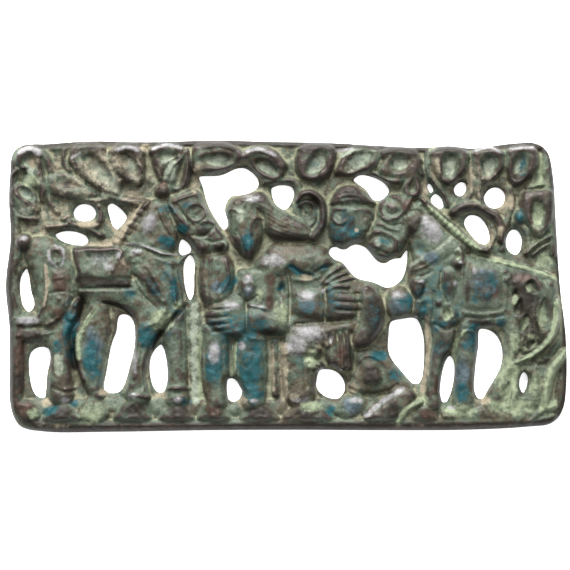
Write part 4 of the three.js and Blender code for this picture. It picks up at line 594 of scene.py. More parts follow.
    def right_leaves(self) -> None:
        """Draws the leaves over the right horse."""
        for outer, inner, floor in (
            ((40.2, 29.9, 10.6, 9.8, -95), (40.3, 29.8, 8.2, 5, -96), 2.8),
            ((49.6, 29.7, 10.4, 8.6, -102), (50.1, 29.8, 7.4, 5, -108), 2.9),
            ((57.9, 29.7, 11, 8.4, -104), (57.8, 29.5, 8.6, 4.8, -104), 2.9),
            ((62.4, 17.8, 12.8, 8.8, -86), (62.2, 18, 8.4, 4, -84), 2.8),
        ):
            self.lift(Drop(*outer, 2), self.leaf + 0.3)
            self.hollow(inner, floor)
        self.form(((58.4, 20), (58.6, 23.4), (62, 24), (66.4, 23.8), (66.6, 19), (63, 21)), 1.2,
                  self.leaf - 0.1)
        self.ridge(((54.2, 27), (56.4, 25.9), (58.6, 26.6), (60, 29)), 1, 0.5)
        self.swell(Oval(57.6, 29.2, 1.1, 2.6, -14), 0.5)
        self.stroke(((59.6, 24.4), (62.4, 25), (65, 25.6)), 1.3, self.twig)
        self.lift(Oval(57.8, 17, 1.5, 2.1), self.leaf - 0.4)
        self.swell(Oval(54.9, 32.8, 0.8, 0.7), 0.5)

    def hoods(self) -> None:
        """Draws the broad rolled rims along the tops of the leaves."""
        for points, width in (
            (((-66.6, 32.2), (-64, 33.6), (-62, 32.4)), 2.6),
            (((-53.4, 31.4), (-51, 33.4), (-46.6, 33.6)), 2.8),
            (((-43.2, 33), (-40, 34.2), (-37, 33)), 2.8),
            (((-33.4, 33.4), (-30, 34.4), (-26.8, 33.4)), 2.4),
            (((23.8, 32.6), (27, 33.6), (31, 32.4)), 2.6),
            (((36.6, 32.6), (40, 33.8), (43.8, 32.6)), 2.8),
            (((46.8, 32.8), (50, 33.8), (53, 32.4)), 2.4),
            (((55.2, 33), (58.4, 34), (61, 33.2)), 2.2),
        ):
            self.stroke(points, width + 0.4, self.leaf + 0.35)

    def hollow(self, inner: tuple[float, ...], floor: float) -> None:
        """Sinks a bowl, and keeps it for the dust.

        Args:
            inner: its middle, length, width and direction.
            floor: the height of its floor.
        """
        x, y, long, wide, turn = inner
        bowl = Oval(x, y, long / 2 + self.spread, wide / 2 + self.spread, turn)
        self.sink(bowl, floor, self.slope)
        self.relief.bowls.append(bowl)


@dataclass
class LeftHorse(Carving):
    """The saddled horse at the left, with its head over the left man. Its sizes are heights."""

    body: float = 4.7
    neck: float = 5.0
    head: float = 5.6
    saddle: float = 5.5
    near_leg: float = 4.8
    far_leg: float = 4.3

    def carve(self) -> None:
        """Draws the trunk, then the legs, the straps, the neck and the head."""
        self.trunk()
        self.legs()
        self.thigh()
        self.seat()
        self.collar()
        self.face()

    def trunk(self) -> None:
        """Draws the rump with its boss, the tail, the belly and the breast."""
        self.form(((-66.8, 10.8), (-62, 12.4), (-56, 10.4), (-52, 6), (-52.6, -2), (-54, -8), (-59, -12),
                   (-63, -9), (-62.8, -3), (-64.6, 4)), 5, self.body)
        self.form(((-54, 3), (-46, 2), (-37, 3), (-30, 3), (-26.2, -1), (-26.6, -5), (-30, -10),
                   (-33.5, -13), (-37, -10), (-40, -6.6), (-45, -4.6), (-50, -5)), 3.8, self.body)
        self.form(((-43, 9), (-38, 11), (-31, 9.6), (-27.6, 6.5), (-26.2, 1), (-26.6, -4), (-31, -5),
                   (-36, 0), (-40, 3)), 3, self.body + 0.2)
        self.stroke(((-66.4, 10.5), (-68.6, 5), (-69, -1), (-67.6, -7)), (3.8, 2.4, 2.4, 3), 3.9)
        self.lift(Oval(-65.8, 10.6, 2.5, 2.5), self.body + 1.0)
        self.stroke(((-69, -9), (-65.5, -8.8), (-61.5, -8.4)), (3.4, 4.4, 3.4), 4.0)
        self.stroke(((-66.4, -12.2), (-61, -12.6), (-55.6, -13.2)), (4, 4, 3), 3.7)
        for x, y in ((-68, -8.2), (-66.8, -9.6), (-67.4, -12.6), (-64.4, -9.4), (-62.2, -12), (-64.9, -13)):
            self.swell(Oval(x, y, 0.9, 0.6, 20), 0.45)

    def legs(self) -> None:
        """Draws the four legs, each with a hoof on the rocks."""
        self.stroke(((-47.2, -5), (-48.2, -11), (-49.4, -17), (-49, -22), (-47.6, -27)),
                    (5.4, 8, 8.4, 6.4, 4.4), self.far_leg)
        self.ridge(((-48.2, -5.4), (-50.8, -9.5), (-52.4, -14.5), (-52.4, -19.5), (-50.9, -23.5)), 1.6, 0.7)
        for x in (-49.6, -48.3, -47):
            self.ridge(((x + 1.2, -11), (x, -15), (x - 0.2, -20)), 0.9, -0.25)
        self.stroke(((-54.8, -11), (-57.2, -16), (-56.8, -21), (-56.6, -27)), (7.6, 6.6, 5.6, 6.8),
                    self.near_leg)
        self.ridge(((-50.4, -3), (-52, -8), (-54, -12.4), (-53.5, -18), (-52.8, -24)), 2.8,
                   (-1.0, -1.9, -1.3))
        self.ridge(((-58.4, -25.6), (-55, -26.6), (-52.6, -26)), 1.1, -0.5)
        self.ridge(((-55.6, -25.8), (-53.4, -25.7)), 0.9, 0.8)
        self.stroke(((-28, -5), (-28.3, -11), (-27.9, -17), (-27.7, -23), (-27.6, -28.5)),
                    (4.6, 6, 5.6, 5.4, 6.6), self.far_leg)
        self.ridge(((-26.3, -9), (-26, -15), (-26.2, -21)), 0.9, -0.4)
        self.ridge(((-30.6, -25.9), (-27.6, -25.5), (-24.6, -25.8)), 1.5, 0.7)
        self.lift(Oval(-27.4, -28.2, 2.6, 1.9), self.far_leg + 0.6)
        self.stroke(((-35, -6), (-35.6, -12), (-36.9, -18), (-37.8, -23), (-37.6, -27.5)),
                    (7.4, 6.2, 4.8, 4.6, 6.4), self.near_leg)
        self.ridge(((-37.3, -11), (-37.9, -18), (-38.2, -23)), 1.1, 0.45)
        self.ridge(((-36.2, -15), (-36.8, -21), (-36.4, -26)), 0.9, -0.4)
        self.ridge(((-25.6, -5), (-28.8, -8.4), (-31.6, -11.8), (-33.8, -15.8), (-34.3, -20)), 1.7,
                   (-1.4, -1.9, -1.2, -0.4))
        self.ridge(((-30.5, -6), (-32.5, -9), (-35.5, -10.5)), 2, 0.5)
        self.stroke(((-38.8, -27.2), (-37, -27.4), (-35, -27.8)), 1.5, self.near_leg + 0.4)

    def thigh(self) -> None:
        """Draws the ring at the hip and the leaves of the thigh."""
        self.ridge(((-60.4, 4.8), (-60, 0), (-60.3, -4), (-62, -7.6)), 1.2, 0.8)
        self.form(((-59.4, 5.6), (-57, 4.6), (-54.2, 5.4), (-53.6, 1), (-53.5, -3.5), (-54.8, -7),
                   (-58, -9.4), (-59.8, -6), (-59.5, 0)), 2, self.saddle - 0.2)
        self.ridge(((-59.2, -2), (-56.4, -1.4), (-53.8, -2)), 1, -0.6)
        self.ridge(((-58.2, 1.6), (-55.6, 2.1)), 0.9, 0.4)
        self.lift(Oval(-57, -3.4, 1.5, 1.5), self.saddle)
        self.swell(Oval(-56.8, -3.4, 0.9, 1.1), 0.5)
        self.ridge(((-55.4, 4), (-55, 0), (-55.2, -6)), 0.9, -0.4)
        self.swell(Oval(-54.9, -1.7, 0.6, 0.5), 0.6)
        self.lift(Oval(-57.8, 7.2, 2.7, 3.1), self.saddle + 0.2)
        self.sink(Oval(-57.6, 7.2, 1.8, 2.2), self.saddle - 1.5, 0.7)
        self.ridge(((-57.1, 8.8), (-56.9, 7), (-57.4, 5.6)), 0.8, 0.5)
        self.lift(Drop(-53.4, -6.2, 7, 2.8, 68, 1.2), self.body + 0.4)
        self.swell(Drop(-53.5, -6.6, 4, 1.3, 68, 0.5), -0.5)
        self.ridge(((-60, -9.9), (-58.4, -8.9), (-57, -8)), 1.1, 0.8)
        self.ridge(((-60.4, -12.2), (-58.4, -11.4)), 0.9, 0.6)

    def seat(self) -> None:
        """Draws the saddle: a hollowed upper part, a rolled lower band and its edges."""
        self.form(((-53.5, 9.8), (-47, 9.8), (-41, 9.9), (-39.6, 6), (-38.6, 1.5), (-38.8, -0.7), (-45, -1),
                   (-51.6, -0.8), (-52.8, 4)), 1.5, self.saddle)
        self.sink(Pad(((-51.8, 9), (-46, 9.3), (-42, 8.6), (-42.6, 5.4), (-45.5, 3.6), (-50.5, 3.8)), 2.4),
                  self.saddle - 1.0, 1.0)
        self.ridge(((-53.2, 9.4), (-52.8, 6.4), (-51.9, 3.9)), 1.3, 0.7)
        self.ridge(((-43.6, 3.6), (-42, 6.6), (-40.4, 9.2)), 1.5, 0.5)
        self.swell(Pad(((-51.8, 2.9), (-46, 2.4), (-39.2, 2.2), (-38.6, -0.6), (-45, -0.8), (-51.6, -0.6)),
                       0.9), -0.6)
        self.ridge(((-52, -0.7), (-45, -0.7), (-38.8, -0.5)), 1, -0.8)
        self.ridge(((-51.6, -1.6), (-46, -1.5), (-38.6, -1.4)), 0.9, 0.15)
        self.ridge(((-46.4, -4.4), (-42.4, -5.2), (-38.6, -7.4)), 1.6, -0.6)

    def collar(self) -> None:
        """Draws the neck, its mane and strap, and the boss and leaves of the shoulder."""
        self.form(((-41.4, 10), (-40.4, 14.6), (-37.4, 18.6), (-33.6, 21.6), (-30, 21), (-27.6, 15.5),
                   (-27.9, 9), (-31, 7.6), (-36, 8.6)), 3, self.neck)
        self.lift(Oval(-34.2, 15.4, 2.2, 4.4, -22), self.neck + 0.5, 0.8)
        self.ridge(((-32.6, 19), (-31.9, 16.4), (-30.4, 13.6), (-28.6, 11.6)), 1, -0.6)
        self.ridge(((-32.2, 18.4), (-30.9, 15.8), (-29.4, 12.9)), 0.8, 0.4)
        self.swell(Oval(-30.8, 10.6, 2.8, 2.4, -20), -0.5)
        mane = ((-34.8, 20.6), (-36.6, 18.4), (-38.8, 15.6), (-41, 12.6), (-42.4, 10.6))
        self.stroke(mane, (1.8, 2.8, 3.4, 2.8), self.neck + 0.2)
        for i in range(6):
            x, y = -36.9 - 0.95 * i, 19.3 - 1.6 * i
            self.ridge(((x - 1.6, y + 0.7), (x + 1.5, y - 0.7)), 0.9, -0.55)
        self.ridge(((-34.6, 19), (-36.4, 15.8), (-38.8, 12.8), (-40.4, 11)), 0.9, -0.5)
        self.ridge(((-40.2, 10.3), (-37, 10.2), (-34, 9), (-31, 8), (-27.6, 7.7)), 1.1, (0.4, 0.8, 1.1, 0.8))
        self.ridge(((-39.6, 9.1), (-35.6, 8.7), (-33, 7.4), (-28, 6.5)), 1, -0.5)
        self.ridge(((-33, 6.6), (-30, 5.6), (-27.4, 5.4)), 0.9, 0.35)
        # The boss, and the leaf that hangs from it.
        self.lift(Oval(-37.4, 7.2, 2.4, 2.3), self.saddle)
        for turn in range(0, 360, 60):
            c, s = turned(turn)
            self.swell(Oval(-37.4 + 1.7 * c, 7.2 + 1.6 * s, 0.8, 0.8), 0.5)
        self.swell(Oval(-37.4, 7.2, 0.9, 0.9), -0.6)
        self.form(((-38.6, 5.2), (-38.2, 2.4), (-36, -1), (-33.4, -4), (-30.6, -5.6), (-29, -4.4),
                   (-29.9, -1), (-31.4, 2.4), (-33.4, 5.2), (-35.8, 6.2)), 2.2, self.saddle + 0.2)
        self.ridge(((-35.4, 4.2), (-33.4, 0.4), (-31, -3.4)), 1.4, -0.5)
        self.ridge(((-38.6, 1.6), (-36.2, -2.4), (-33, -5.4)), 1, -0.7)
        self.stroke(((-31, 4.4), (-29.2, 1.4), (-28.2, -2), (-28, -4.4)), (1.6, 2, 2.2, 1.6),
                    self.body + 0.5)
        self.ridge(((-28.6, 4.6), (-27.6, 1), (-27, -3.6)), 0.9, -0.8)

    def face(self) -> None:
        """Draws the head: the brow, the eye in its ring, the bridle, the muzzle and the ear."""
        self.form(((-30.4, 21.6), (-26.5, 23.8), (-22.6, 24), (-20.9, 21), (-18.8, 17.4), (-16.4, 13.4),
                   (-14.8, 9.6), (-17, 8), (-22.6, 7.8), (-24.6, 10.8), (-27.6, 13.4), (-29.6, 17.6)), 2.6,
                  self.head)
        self.lift(Oval(-31, 23.6, 2.4, 2.3), self.head)
        self.ridge(((-28.3, 20.8), (-25.5, 22), (-23, 22.8)), 1, 0.8)
        self.ridge(((-27.6, 22.2), (-25, 23.6), (-23.2, 24.8)), 1, 0.8)
        self.ridge(((-28, 21.8), (-25.4, 23), (-22.8, 23.8)), 0.8, -0.5)
        self.swell(Oval(-25, 20.2, 2.4, 1.2, 20), 0.3)
        self.swell(Ring(-22.9, 18.1, 2.2, 1.2), 0.8)
        self.swell(Oval(-22.9, 18.1, 1.4, 1.4), -0.5)
        self.swell(Oval(-22.8, 18.2, 0.8, 0.8), 0.7)
        self.ridge(((-29.3, 19.8), (-27.3, 17.2), (-24.9, 15)), (1, 1.3, 1.9), 0.7)
        self.ridge(((-29.6, 18), (-28, 15.6), (-25.4, 13)), 1, -0.5)
        self.ridge(((-27.6, 20.2), (-25.8, 17.2), (-23.6, 14.6)), 1, -0.6)
        self.swell(Oval(-21.4, 13.8, 2.2, 1.3, 15), 0.5)
        self.ridge(((-21.6, 15.4), (-19.9, 16), (-18.4, 15.2)), 1, 0.8)
        self.ridge(((-23.8, 12.4), (-20.6, 12.3), (-18.6, 14.2)), 1, -0.8)
        self.ridge(((-18.2, 14.4), (-17.2, 13.4), (-16.2, 11.9)), 1.1, 0.7)
        self.swell(Oval(-19.2, 12.7, 1.2, 0.7, 50), 0.5)
        self.ridge(((-20.8, 11.4), (-18.6, 10.8), (-16.8, 11)), 0.9, -0.7)
        self.ridge(((-19.2, 10.8), (-18.8, 8.2)), 0.9, -0.8)
        self.swell(Oval(-21.4, 9.5, 1.7, 1.4), 0.5)
        self.swell(Oval(-16.8, 9.6, 1.3, 1.3), 0.5)
        self.stroke(((-26.8, 6), (-24.6, 8.2)), 1.6, 3.2)
        self.ear(Drop(-26.6, 28.6, 12, 5.2, 74, 1.2), Drop(-26.6, 28.6, 9.6, 2.8, 74, 1.3), 2.6, 4.8)


@dataclass
class RightHorse(Carving):
    """The saddled horse at the right, with its muzzle at the right man's face. Its sizes are heights."""

    body: float = 4.5
    neck: float = 5.0
    head: float = 5.5
    saddle: float = 5.2
    rump: float = 5.0
    leg: float = 4.5

    def carve(self) -> None:
        """Draws the trunk, the straps, the saddle, the rump, the neck and the head."""
        self.trunk()
        self.straps()
        self.seat()
        self.quarters()
        self.neck_and_mane()
        self.face()

    def trunk(self) -> None:
        """Draws the breast, the belly and the legs."""
        self.form(((44, 8), (52, 6.4), (60, 4.4), (66.4, 2), (67, -6), (66, -13), (60, -18), (55, -15),
                   (53, -10.6), (46, -11), (42, -10), (38, -12), (34.6, -9), (32, -7), (30.4, -2), (30, 4),
                   (36, 10)), 3.4, self.body)
        self.stroke(((38.6, -8), (38.8, -13), (37.4, -18.6), (36.4, -24), (36.2, -29.4)),
                    (7, 5.6, 4.4, 3.8, 4.4), self.leg)
        self.ridge(((34.6, -9), (34.9, -15), (34.4, -22), (34.6, -27)), 1.1, 0.5)
        self.stroke(((44.6, -10), (44.6, -16), (44.2, -22), (43.6, -29.6)), (5, 5.4, 5.2, 5.6), self.leg)
        self.ridge(((42.4, -12.6), (44.4, -11.2), (46.6, -12)), 1.1, 0.6)
        self.ridge(((42.2, -12), (41.2, -16), (41, -19)), 1.4, -0.8)
        self.lift(Oval(58, -24.6, 8.4, 9), self.leg - 0.6)
        self.stroke(((55.8, -9), (55.8, -15), (54.6, -21), (52.4, -26), (51, -30)), (3.4, 4.4, 5, 5, 5),
                    self.leg - 0.2)
        self.stroke(((56.6, -20), (57, -24.6), (55.4, -29.6)), (2.8, 3, 5), self.leg - 0.4)
        self.stroke(((61.6, -20.4), (61.4, -25), (60.8, -29.6)), (3, 3.4, 4.2), self.leg - 0.3)
        self.ridge(((54.8, -24.4), (55.4, -27), (54.8, -29.6)), 1.2, -0.7)
        for y in (-22, -23.8, -25.6, -27.4):
            self.swell(Oval(61.4, y, 1, 0.8), 0.35)

    def straps(self) -> None:
        """Draws the double strap over the shoulder, its pendant and the three leaves."""
        self.ridge(((29.6, 4.6), (33, 6.4), (36.6, 9.2), (40.4, 12.4)), 1.2, 0.9)
        self.ridge(((30.4, 3.4), (34, 4.8), (37.4, 7.4), (41, 11)), 1.1, 0.7)
        self.ridge(((30, 4), (33.6, 5.6), (37.2, 8.4), (40.8, 11.8)), 0.8, -0.5)
        self.ridge(((30.6, 2.2), (33.6, 2.4), (36, 3.6)), 1, -0.5)
        self.lift(Drop(32.3, -0.6, 6.2, 4.6, -94, 1.8), self.saddle)
        self.swell(Oval(33, 0.9, 0.9, 0.7), 0.5)
        self.ridge(((30, 0.6), (30.8, -2), (32.2, -4.2), (33.6, -2), (34.5, 0.8)), 1, -0.5)
        self.stroke(((32.3, -4), (32, -7.4)), 1.7, self.body)
        for y in (-5.4, -8.4):
            self.swell(Oval(33.8, y + 0.4, 1.1, 1.6), -0.7)
        # The ring leaf, the long leaf and the round leaf at the shoulder.
        self.lift(Drop(42.2, 7.2, 7, 4.6, 78, 1.5), self.saddle + 0.1)
        self.sink(Oval(42.2, 7.3, 1, 1.5), self.body - 0.6, 0.8)
        self.swell(Oval(42.9, 5.7, 0.7, 0.6), 0.5)
        self.lift(Drop(40.3, 0.2, 9.6, 4.6, -82, 2), self.saddle + 0.3)
        self.ridge(((39, 3.6), (38.9, 0), (40, -3.4)), 0.9, 0.35)
        self.swell(Oval(41.6, 0.4, 0.7, 1.1), 0.6)
        self.ridge(((38.1, 3.4), (37.9, -0.6), (39.4, -4.4)), 0.9, -0.8)
        self.lift(Oval(39.6, -6.9, 3.6, 4.1), self.saddle)
        self.sink(Oval(39.4, -6.8, 1.5, 2.1), self.body - 1.1, 0.8)
        self.lift(Oval(41.4, -6.4, 1.7, 2), self.saddle + 0.1)
        self.lift(Oval(37.4, -4.4, 1.4, 1.2), self.saddle + 0.1)
        self.ridge(((36.6, -9.6), (39.6, -11), (42.4, -9.6)), 1.2, -0.7)
        self.ridge(((36.2, -1.6), (36.4, -5), (36, -8.4)), 1.1, -0.7)

    def seat(self) -> None:
        """Draws the saddle cloth, its edges and the girth below."""
        self.form(((44, 5.6), (49, 5.4), (53.8, 4), (54.1, -1), (53.8, -6.2), (49, -6.8), (43.6, -6.4),
                   (43.2, 0)), 2.2, self.saddle)
        self.ridge(((43.7, 5.6), (43.2, 0), (43.3, -7), (42.8, -11)), 0.9, 0.7)
        self.ridge(((45.3, 4.8), (45, 0), (45, -5.8)), 1.3, -0.6)
        self.ridge(((54.1, 3.4), (54.3, -1), (54, -6.2)), 0.9, 0.6)
        self.ridge(((43.4, -6.6), (47, -7.1), (51, -7), (54, -6.3)), 1, 0.3)
        self.ridge(((44, -7.9), (48.6, -8.2), (53.6, -7.5)), 0.9, -0.6)
        self.ridge(((44, -10.2), (48, -10.2), (52, -9.8)), 1.2, 0.3)
        self.ridge(((53.4, 3.4), (54.6, 3.6), (55.2, 2.4), (54.4, 1.2), (55, 0.2)), 0.9, 0.6)
        self.swell(Oval(56.2, 0.6, 0.9, 0.8), 0.6)

    def quarters(self) -> None:
        """Draws the polished rump with its sunken cells, and the bands that curve round it."""
        self.ridge(((45.4, 8), (50, 6.8), (54, 5.7), (60, 4.3), (64, 3), (66.8, 1.2)), 1.2, 0.9)
        self.ridge(((47, 6.5), (54, 4.7), (60, 3.2), (65, 1.4)), 0.9, -0.5)
        self.form(((55, 2.4), (60, 3), (64.6, 1.4), (66.2, -4), (65.6, -10), (62.6, -15), (58.6, -17.6),
                   (57.2, -13), (55.2, -8), (54.8, -3)), 2.2, self.rump)
        for x, y, long, wide, turn in (
            (57.4, -5.4, 4.4, 2, 76), (58.9, -9.2, 5, 1.8, 72), (63.6, -7.2, 8.6, 3.2, 86),
            (60.8, -0.4, 3.6, 2.4, -50), (60.4, -14.6, 3.2, 1.7, 50), (63.8, 1, 3.2, 1.1, -60),
            (56.5, -1.8, 2.2, 1.2, 80),
        ):
            self.sink(Drop(x, y, long + 0.4, wide + 0.4, turn, 0.8), self.rump - 1.5, 1)
        self.ridge(((61.6, 3), (61.8, -3), (61, -8), (61.6, -12)), 1.4, 0.3)
        self.stroke(((67, -3), (67, -8), (65.6, -12.6), (62, -16.6), (56.6, -19.2)), (1.2, 2, 2.4, 2, 1.2),
                    self.rump)
        self.ridge(((68.4, -15.6), (65, -19), (58, -20.4)), 1.6, -0.6)
        self.stroke(((69.2, -16.4), (66.6, -20), (64.4, -24.4), (64, -30)), (1.6, 2.4, 2.6, 2),
                    self.leg + 0.1)
        self.ridge(((67.6, -21), (66.4, -26), (66.4, -30)), 1.4, -0.6)

    def neck_and_mane(self) -> None:
        """Draws the neck and the mane along its crest."""
        self.form(((29.8, 3), (30.4, 9), (28.6, 14), (30.5, 20), (33, 21.6), (37, 17.6), (41, 13.4),
                   (45.4, 9.4), (43, 7), (36, 4)), 3.2, self.neck)
        self.lift(Oval(35.2, 14, 2.8, 4.6, 30), self.neck + 0.4, 0.8)
        self.swell(Oval(32.8, 9, 2, 2.6, 20), -0.5)
        mane = ((33.2, 21.6), (36.2, 18.6), (39.6, 15.4), (43, 12.4), (46, 9.9), (49.6, 8.6))
        self.stroke(mane, (1.6, 2.4, 2.8, 2.4, 1.6), self.neck + 0.3)
        for i in range(13):
            share = i / 12
            x, y = 34.6 + 13.4 * share, 20.4 - 12.4 * share + 1.6 * share * share
            self.ridge(((x - 0.8, y - 0.8), (x + 0.9, y + 0.9)), 0.7, -0.45)
        self.ridge(((33.2, 19.6), (36.6, 16), (40.4, 12.5), (43.4, 10.4), (45.4, 8)), 1, -0.8)

    def face(self) -> None:
        """Draws the head: the eye in its rings, the cheek, the muzzle with its nostril, and the ear."""
        self.form(((30, 22.6), (26, 23), (22.8, 21.4), (21.9, 17), (20, 13.4), (19.4, 9.8), (21.6, 7),
                   (24.6, 6.2), (28, 7.8), (29.8, 11), (33.6, 14), (33.4, 17.6), (31.6, 20.4)), 2.6,
                  self.head)
        self.swell(Oval(25.7, 19.6, 3.3, 2.8), 0.2)
        self.swell(Ring(25.7, 19.5, 2.8, 0.9), 0.6)
        self.swell(Ring(25.8, 19.4, 1.7, 0.8), -0.4)
        self.swell(Oval(25.9, 19.3, 1, 0.9), 0.2)
        self.ridge(((22.6, 17.4), (24.4, 16.2), (27, 16.6), (28.8, 18.4)), 0.9, 0.6)
        self.ridge(((23.4, 16.2), (25.4, 14.9), (28, 15.4)), 0.8, -0.6)
        self.lift(Drop(29.6, 19.8, 5.4, 2.4, 62, 1.2), self.head + 0.5)
        self.lift(Drop(31.8, 15.6, 6, 4.2, 60, 1.8), self.head + 0.4)
        self.ridge(((29, 17.6), (29.4, 15), (30.4, 12.6)), 1, -0.8)
        self.ridge(((30.4, 18.4), (32.4, 18.4), (33.8, 17)), 0.9, -0.6)
        self.ridge(((20.6, 14.4), (22.6, 15.2), (25, 14.2), (27.4, 13.6)), 1, 0.5)
        self.ridge(((19.4, 11.8), (21.4, 13.2), (24.4, 13), (26.6, 11.2), (26.8, 8.8)), 1, 0.7)
        self.ridge(((20.2, 11), (22, 12.2), (24.2, 11.8), (25.6, 10.2)), 0.8, -0.7)
        self.swell(Oval(22.3, 10.2, 1.4, 1.3), 0.5)
        self.swell(Oval(22.2, 10.3, 0.7, 0.7), -0.7)
        self.ridge(((20.6, 8.2), (22.8, 8.6), (25, 7.6)), 0.8, -0.7)
        self.swell(Oval(27.6, 9.6, 1.4, 1.8), -0.5)
        self.ear(Drop(31, 25, 7.2, 5, 80, 1.3), Drop(31, 25, 4.6, 2.4, 80, 1.3), 2.6, 4.8)
        self.swell(Oval(26.4, 22.4, 1.2, 0.8), 0.6)


@dataclass
class Wrestlers(Carving):
    """The two men in each other's grip. Their sizes are heights."""

    body: float = 4.9
    arm: float = 5.9
    leg: float = 4.9
    head: float = 5.5
    hair: float = 5.8

    def carve(self) -> None:
        """Draws the bodies and legs, the arms, the dress, the two heads and the hair between them."""
        self.bodies()
        self.legs()
        self.arms()
        self.dress()
        self.left_head()
        self.hair_loop()
        self.right_head()

    def bodies(self) -> None:
        """Draws the chest, the back, the shoulder and the hip."""
        self.form(((-6.5, 7), (0, 10), (7, 10.4), (12, 6.4), (17, 2.4), (22, 0), (23, -6), (20, -13),
                   (15, -15), (8, -13), (0, -13), (-8, -12), (-14, -12), (-20, -8), (-21, -2), (-14, -1),
                   (-12.6, 4), (-9, 4.6)), 3.6, self.body - 0.5)
        self.form(((-8.4, 4.4), (-6.4, 8.4), (-3.6, 10.6), (2, 10.7), (8, 10), (12.4, 6.8), (10, 3),
                   (5, 0.8), (1.4, 1.8), (-3, 1.2)), 5, self.arm + 0.1)
        self.form(((1, -9.4), (9, -9.2), (16.6, -8.6), (17, -12), (12, -12.8), (8.4, -15), (5.6, -18),
                   (1.6, -19), (-1.8, -18), (-1.2, -13), (0, -10.6)), 3.4, self.body + 1.0)
        self.form(((-22, 5.4), (-20.6, 7.8), (-17.6, 8.3), (-14.6, 7.6), (-13.2, 4), (-13.4, -1.4),
                   (-15.4, -4.6), (-20, -5.4), (-22.2, -1.6)), 3, self.body + 0.3)
        self.form(((17, -0.6), (20, 0.8), (22.6, -1.4), (24.2, -6), (23.2, -11), (20, -15), (16.6, -16),
                   (15.4, -13.4), (17, -9)), 3, self.arm + 0.3)
        self.ridge(((20.4, 1), (23, -1.6), (24.3, -6.4), (23, -11.8), (19.4, -15.4)), 1.2, 0.4)
        self.lift(Oval(27.8, -4.4, 4, 4.2), self.body - 0.3)
        self.form(((17, -16), (21, -16), (25, -18), (28.6, -22), (31.4, -25.6), (27, -27), (22, -27),
                   (16.4, -27.6), (14.8, -25), (16.8, -21)), 2.6, self.leg - 1.1)
        self.form(((17.9, -22.6), (18.4, -19.6), (20.6, -18.6), (22.6, -19.8), (24, -23), (22.6, -25.2),
                   (19, -24.8)), 2, self.body)
        self.ridge(((16.6, -22.6), (17.6, -19), (20.6, -17.4), (23.6, -19.2), (25, -23)), 1, 0.5)
        self.ridge(((15.2, -25.6), (19, -27), (24, -26.6), (27.4, -24.6)), 1.3, -0.6)

    def legs(self) -> None:
        """Draws the three legs that show, and the folds of the trousers."""
        self.stroke(((-18.2, -12), (-18.4, -17), (-18.2, -22), (-17.6, -28.4)), (7.4, 7.6, 7.2, 6), self.leg)
        self.stroke(((-9, -12), (-9.4, -17), (-9.2, -22), (-8.8, -28.4)), (7.4, 9, 8.6, 7), self.leg)
        self.stroke(((2, -13), (1.8, -17), (2.4, -22), (3, -27.4)), (6.4, 8.6, 8.6, 8), self.leg + 0.2)
        self.stroke(((-3.2, -14), (-3, -20), (-3, -27)), (2, 2.4, 2), self.leg - 1.4)
        for points, amount in (
            (((-20.6, -14), (-20.8, -20), (-20.4, -26)), -0.35),
            (((-16.4, -14.4), (-16.2, -20), (-15.8, -26)), -0.3),
            (((-11.9, -15), (-12.2, -20), (-12, -25.4)), -0.4),
            (((-6.4, -14.6), (-5.8, -20), (-5.6, -26)), -0.35),
            (((-0.8, -17), (-1, -22), (-0.2, -26.4)), 0.35),
            (((4.3, -17.4), (4, -21), (4.6, -25.6)), -0.45),
            (((-13.2, -15.4), (-13.3, -20), (-12.6, -23)), 0.4),
        ):
            self.ridge(points, 1, amount)
        self.ridge(((-11, -12.6), (-8, -13.4), (-5, -13.2)), 1, 0.4)

    def arms(self) -> None:
        """Draws the arm that points left and the arm that points right, each with its hand."""
        self.stroke(((-4.4, 3.4), (-5, -1), (-5.2, -6)), (5, 5.6, 5), self.arm - 0.8)
        self.stroke(((-1, -9.4), (-5, -9), (-10.2, -8.7)), (6.6, 7.6, 8.2), self.arm - 0.2)
        self.ridge(((-10, -4.9), (-8, -5.1), (-5.6, -5.9)), 1.1, 0.7)
        self.form(((-10.6, -3.8), (-13, -3.2), (-16.4, -3.6), (-19.8, -5), (-20.8, -7.6), (-20, -10.6),
                   (-17, -12.4), (-10.8, -12.8)), 2.2, self.arm - 0.3)
        for y, tip in ((-6, -20.2), (-7.9, -20.6), (-9.7, -20.2), (-11.3, -18.6)):
            self.ridge(((-14.4, y + 0.3), (-17, y), (tip, y - 0.2)), (0.7, 1.1, 1.1), (-0.3, -0.8, -0.8))
        self.ridge(((-10.5, -3.6), (-10.3, -8), (-10.5, -13)), 0.9, -1.0)
        self.ridge(((-9.6, -4.6), (-9.4, -8), (-9.6, -12.6)), 0.9, 0.3)
        self.form(((0.8, -1.4), (4, -0.4), (9, -0.5), (9.4, -4), (9, -8.9), (4, -8.7), (1.2, -7.6)), 3.4,
                  self.arm + 0.2)
        self.form(((9.2, -0.4), (12, -0.1), (15.6, -0.7), (18, -2.6), (18.2, -5.6), (16.8, -8.2), (13, -8.7),
                   (9.2, -8.7)), 2, self.arm)
        for y, tip in ((-2.1, 17.8), (-4.1, 18.2), (-6.2, 17.8)):
            self.ridge(((11.4, y + 0.3), (14, y), (tip, y - 0.1)), (0.7, 1, 1.1), (-0.3, -0.7, -0.9))
        self.ridge(((9.3, -0.2), (9.6, -4.4), (9.2, -8.8)), 0.9, -0.9)
        self.ridge(((8.4, -0.6), (8.7, -4.4), (8.4, -8.6)), 1, 0.4)
        self.stroke(((9.8, -1.2), (12, -0.2), (14.8, -0.3)), 1.5, self.arm + 0.1)

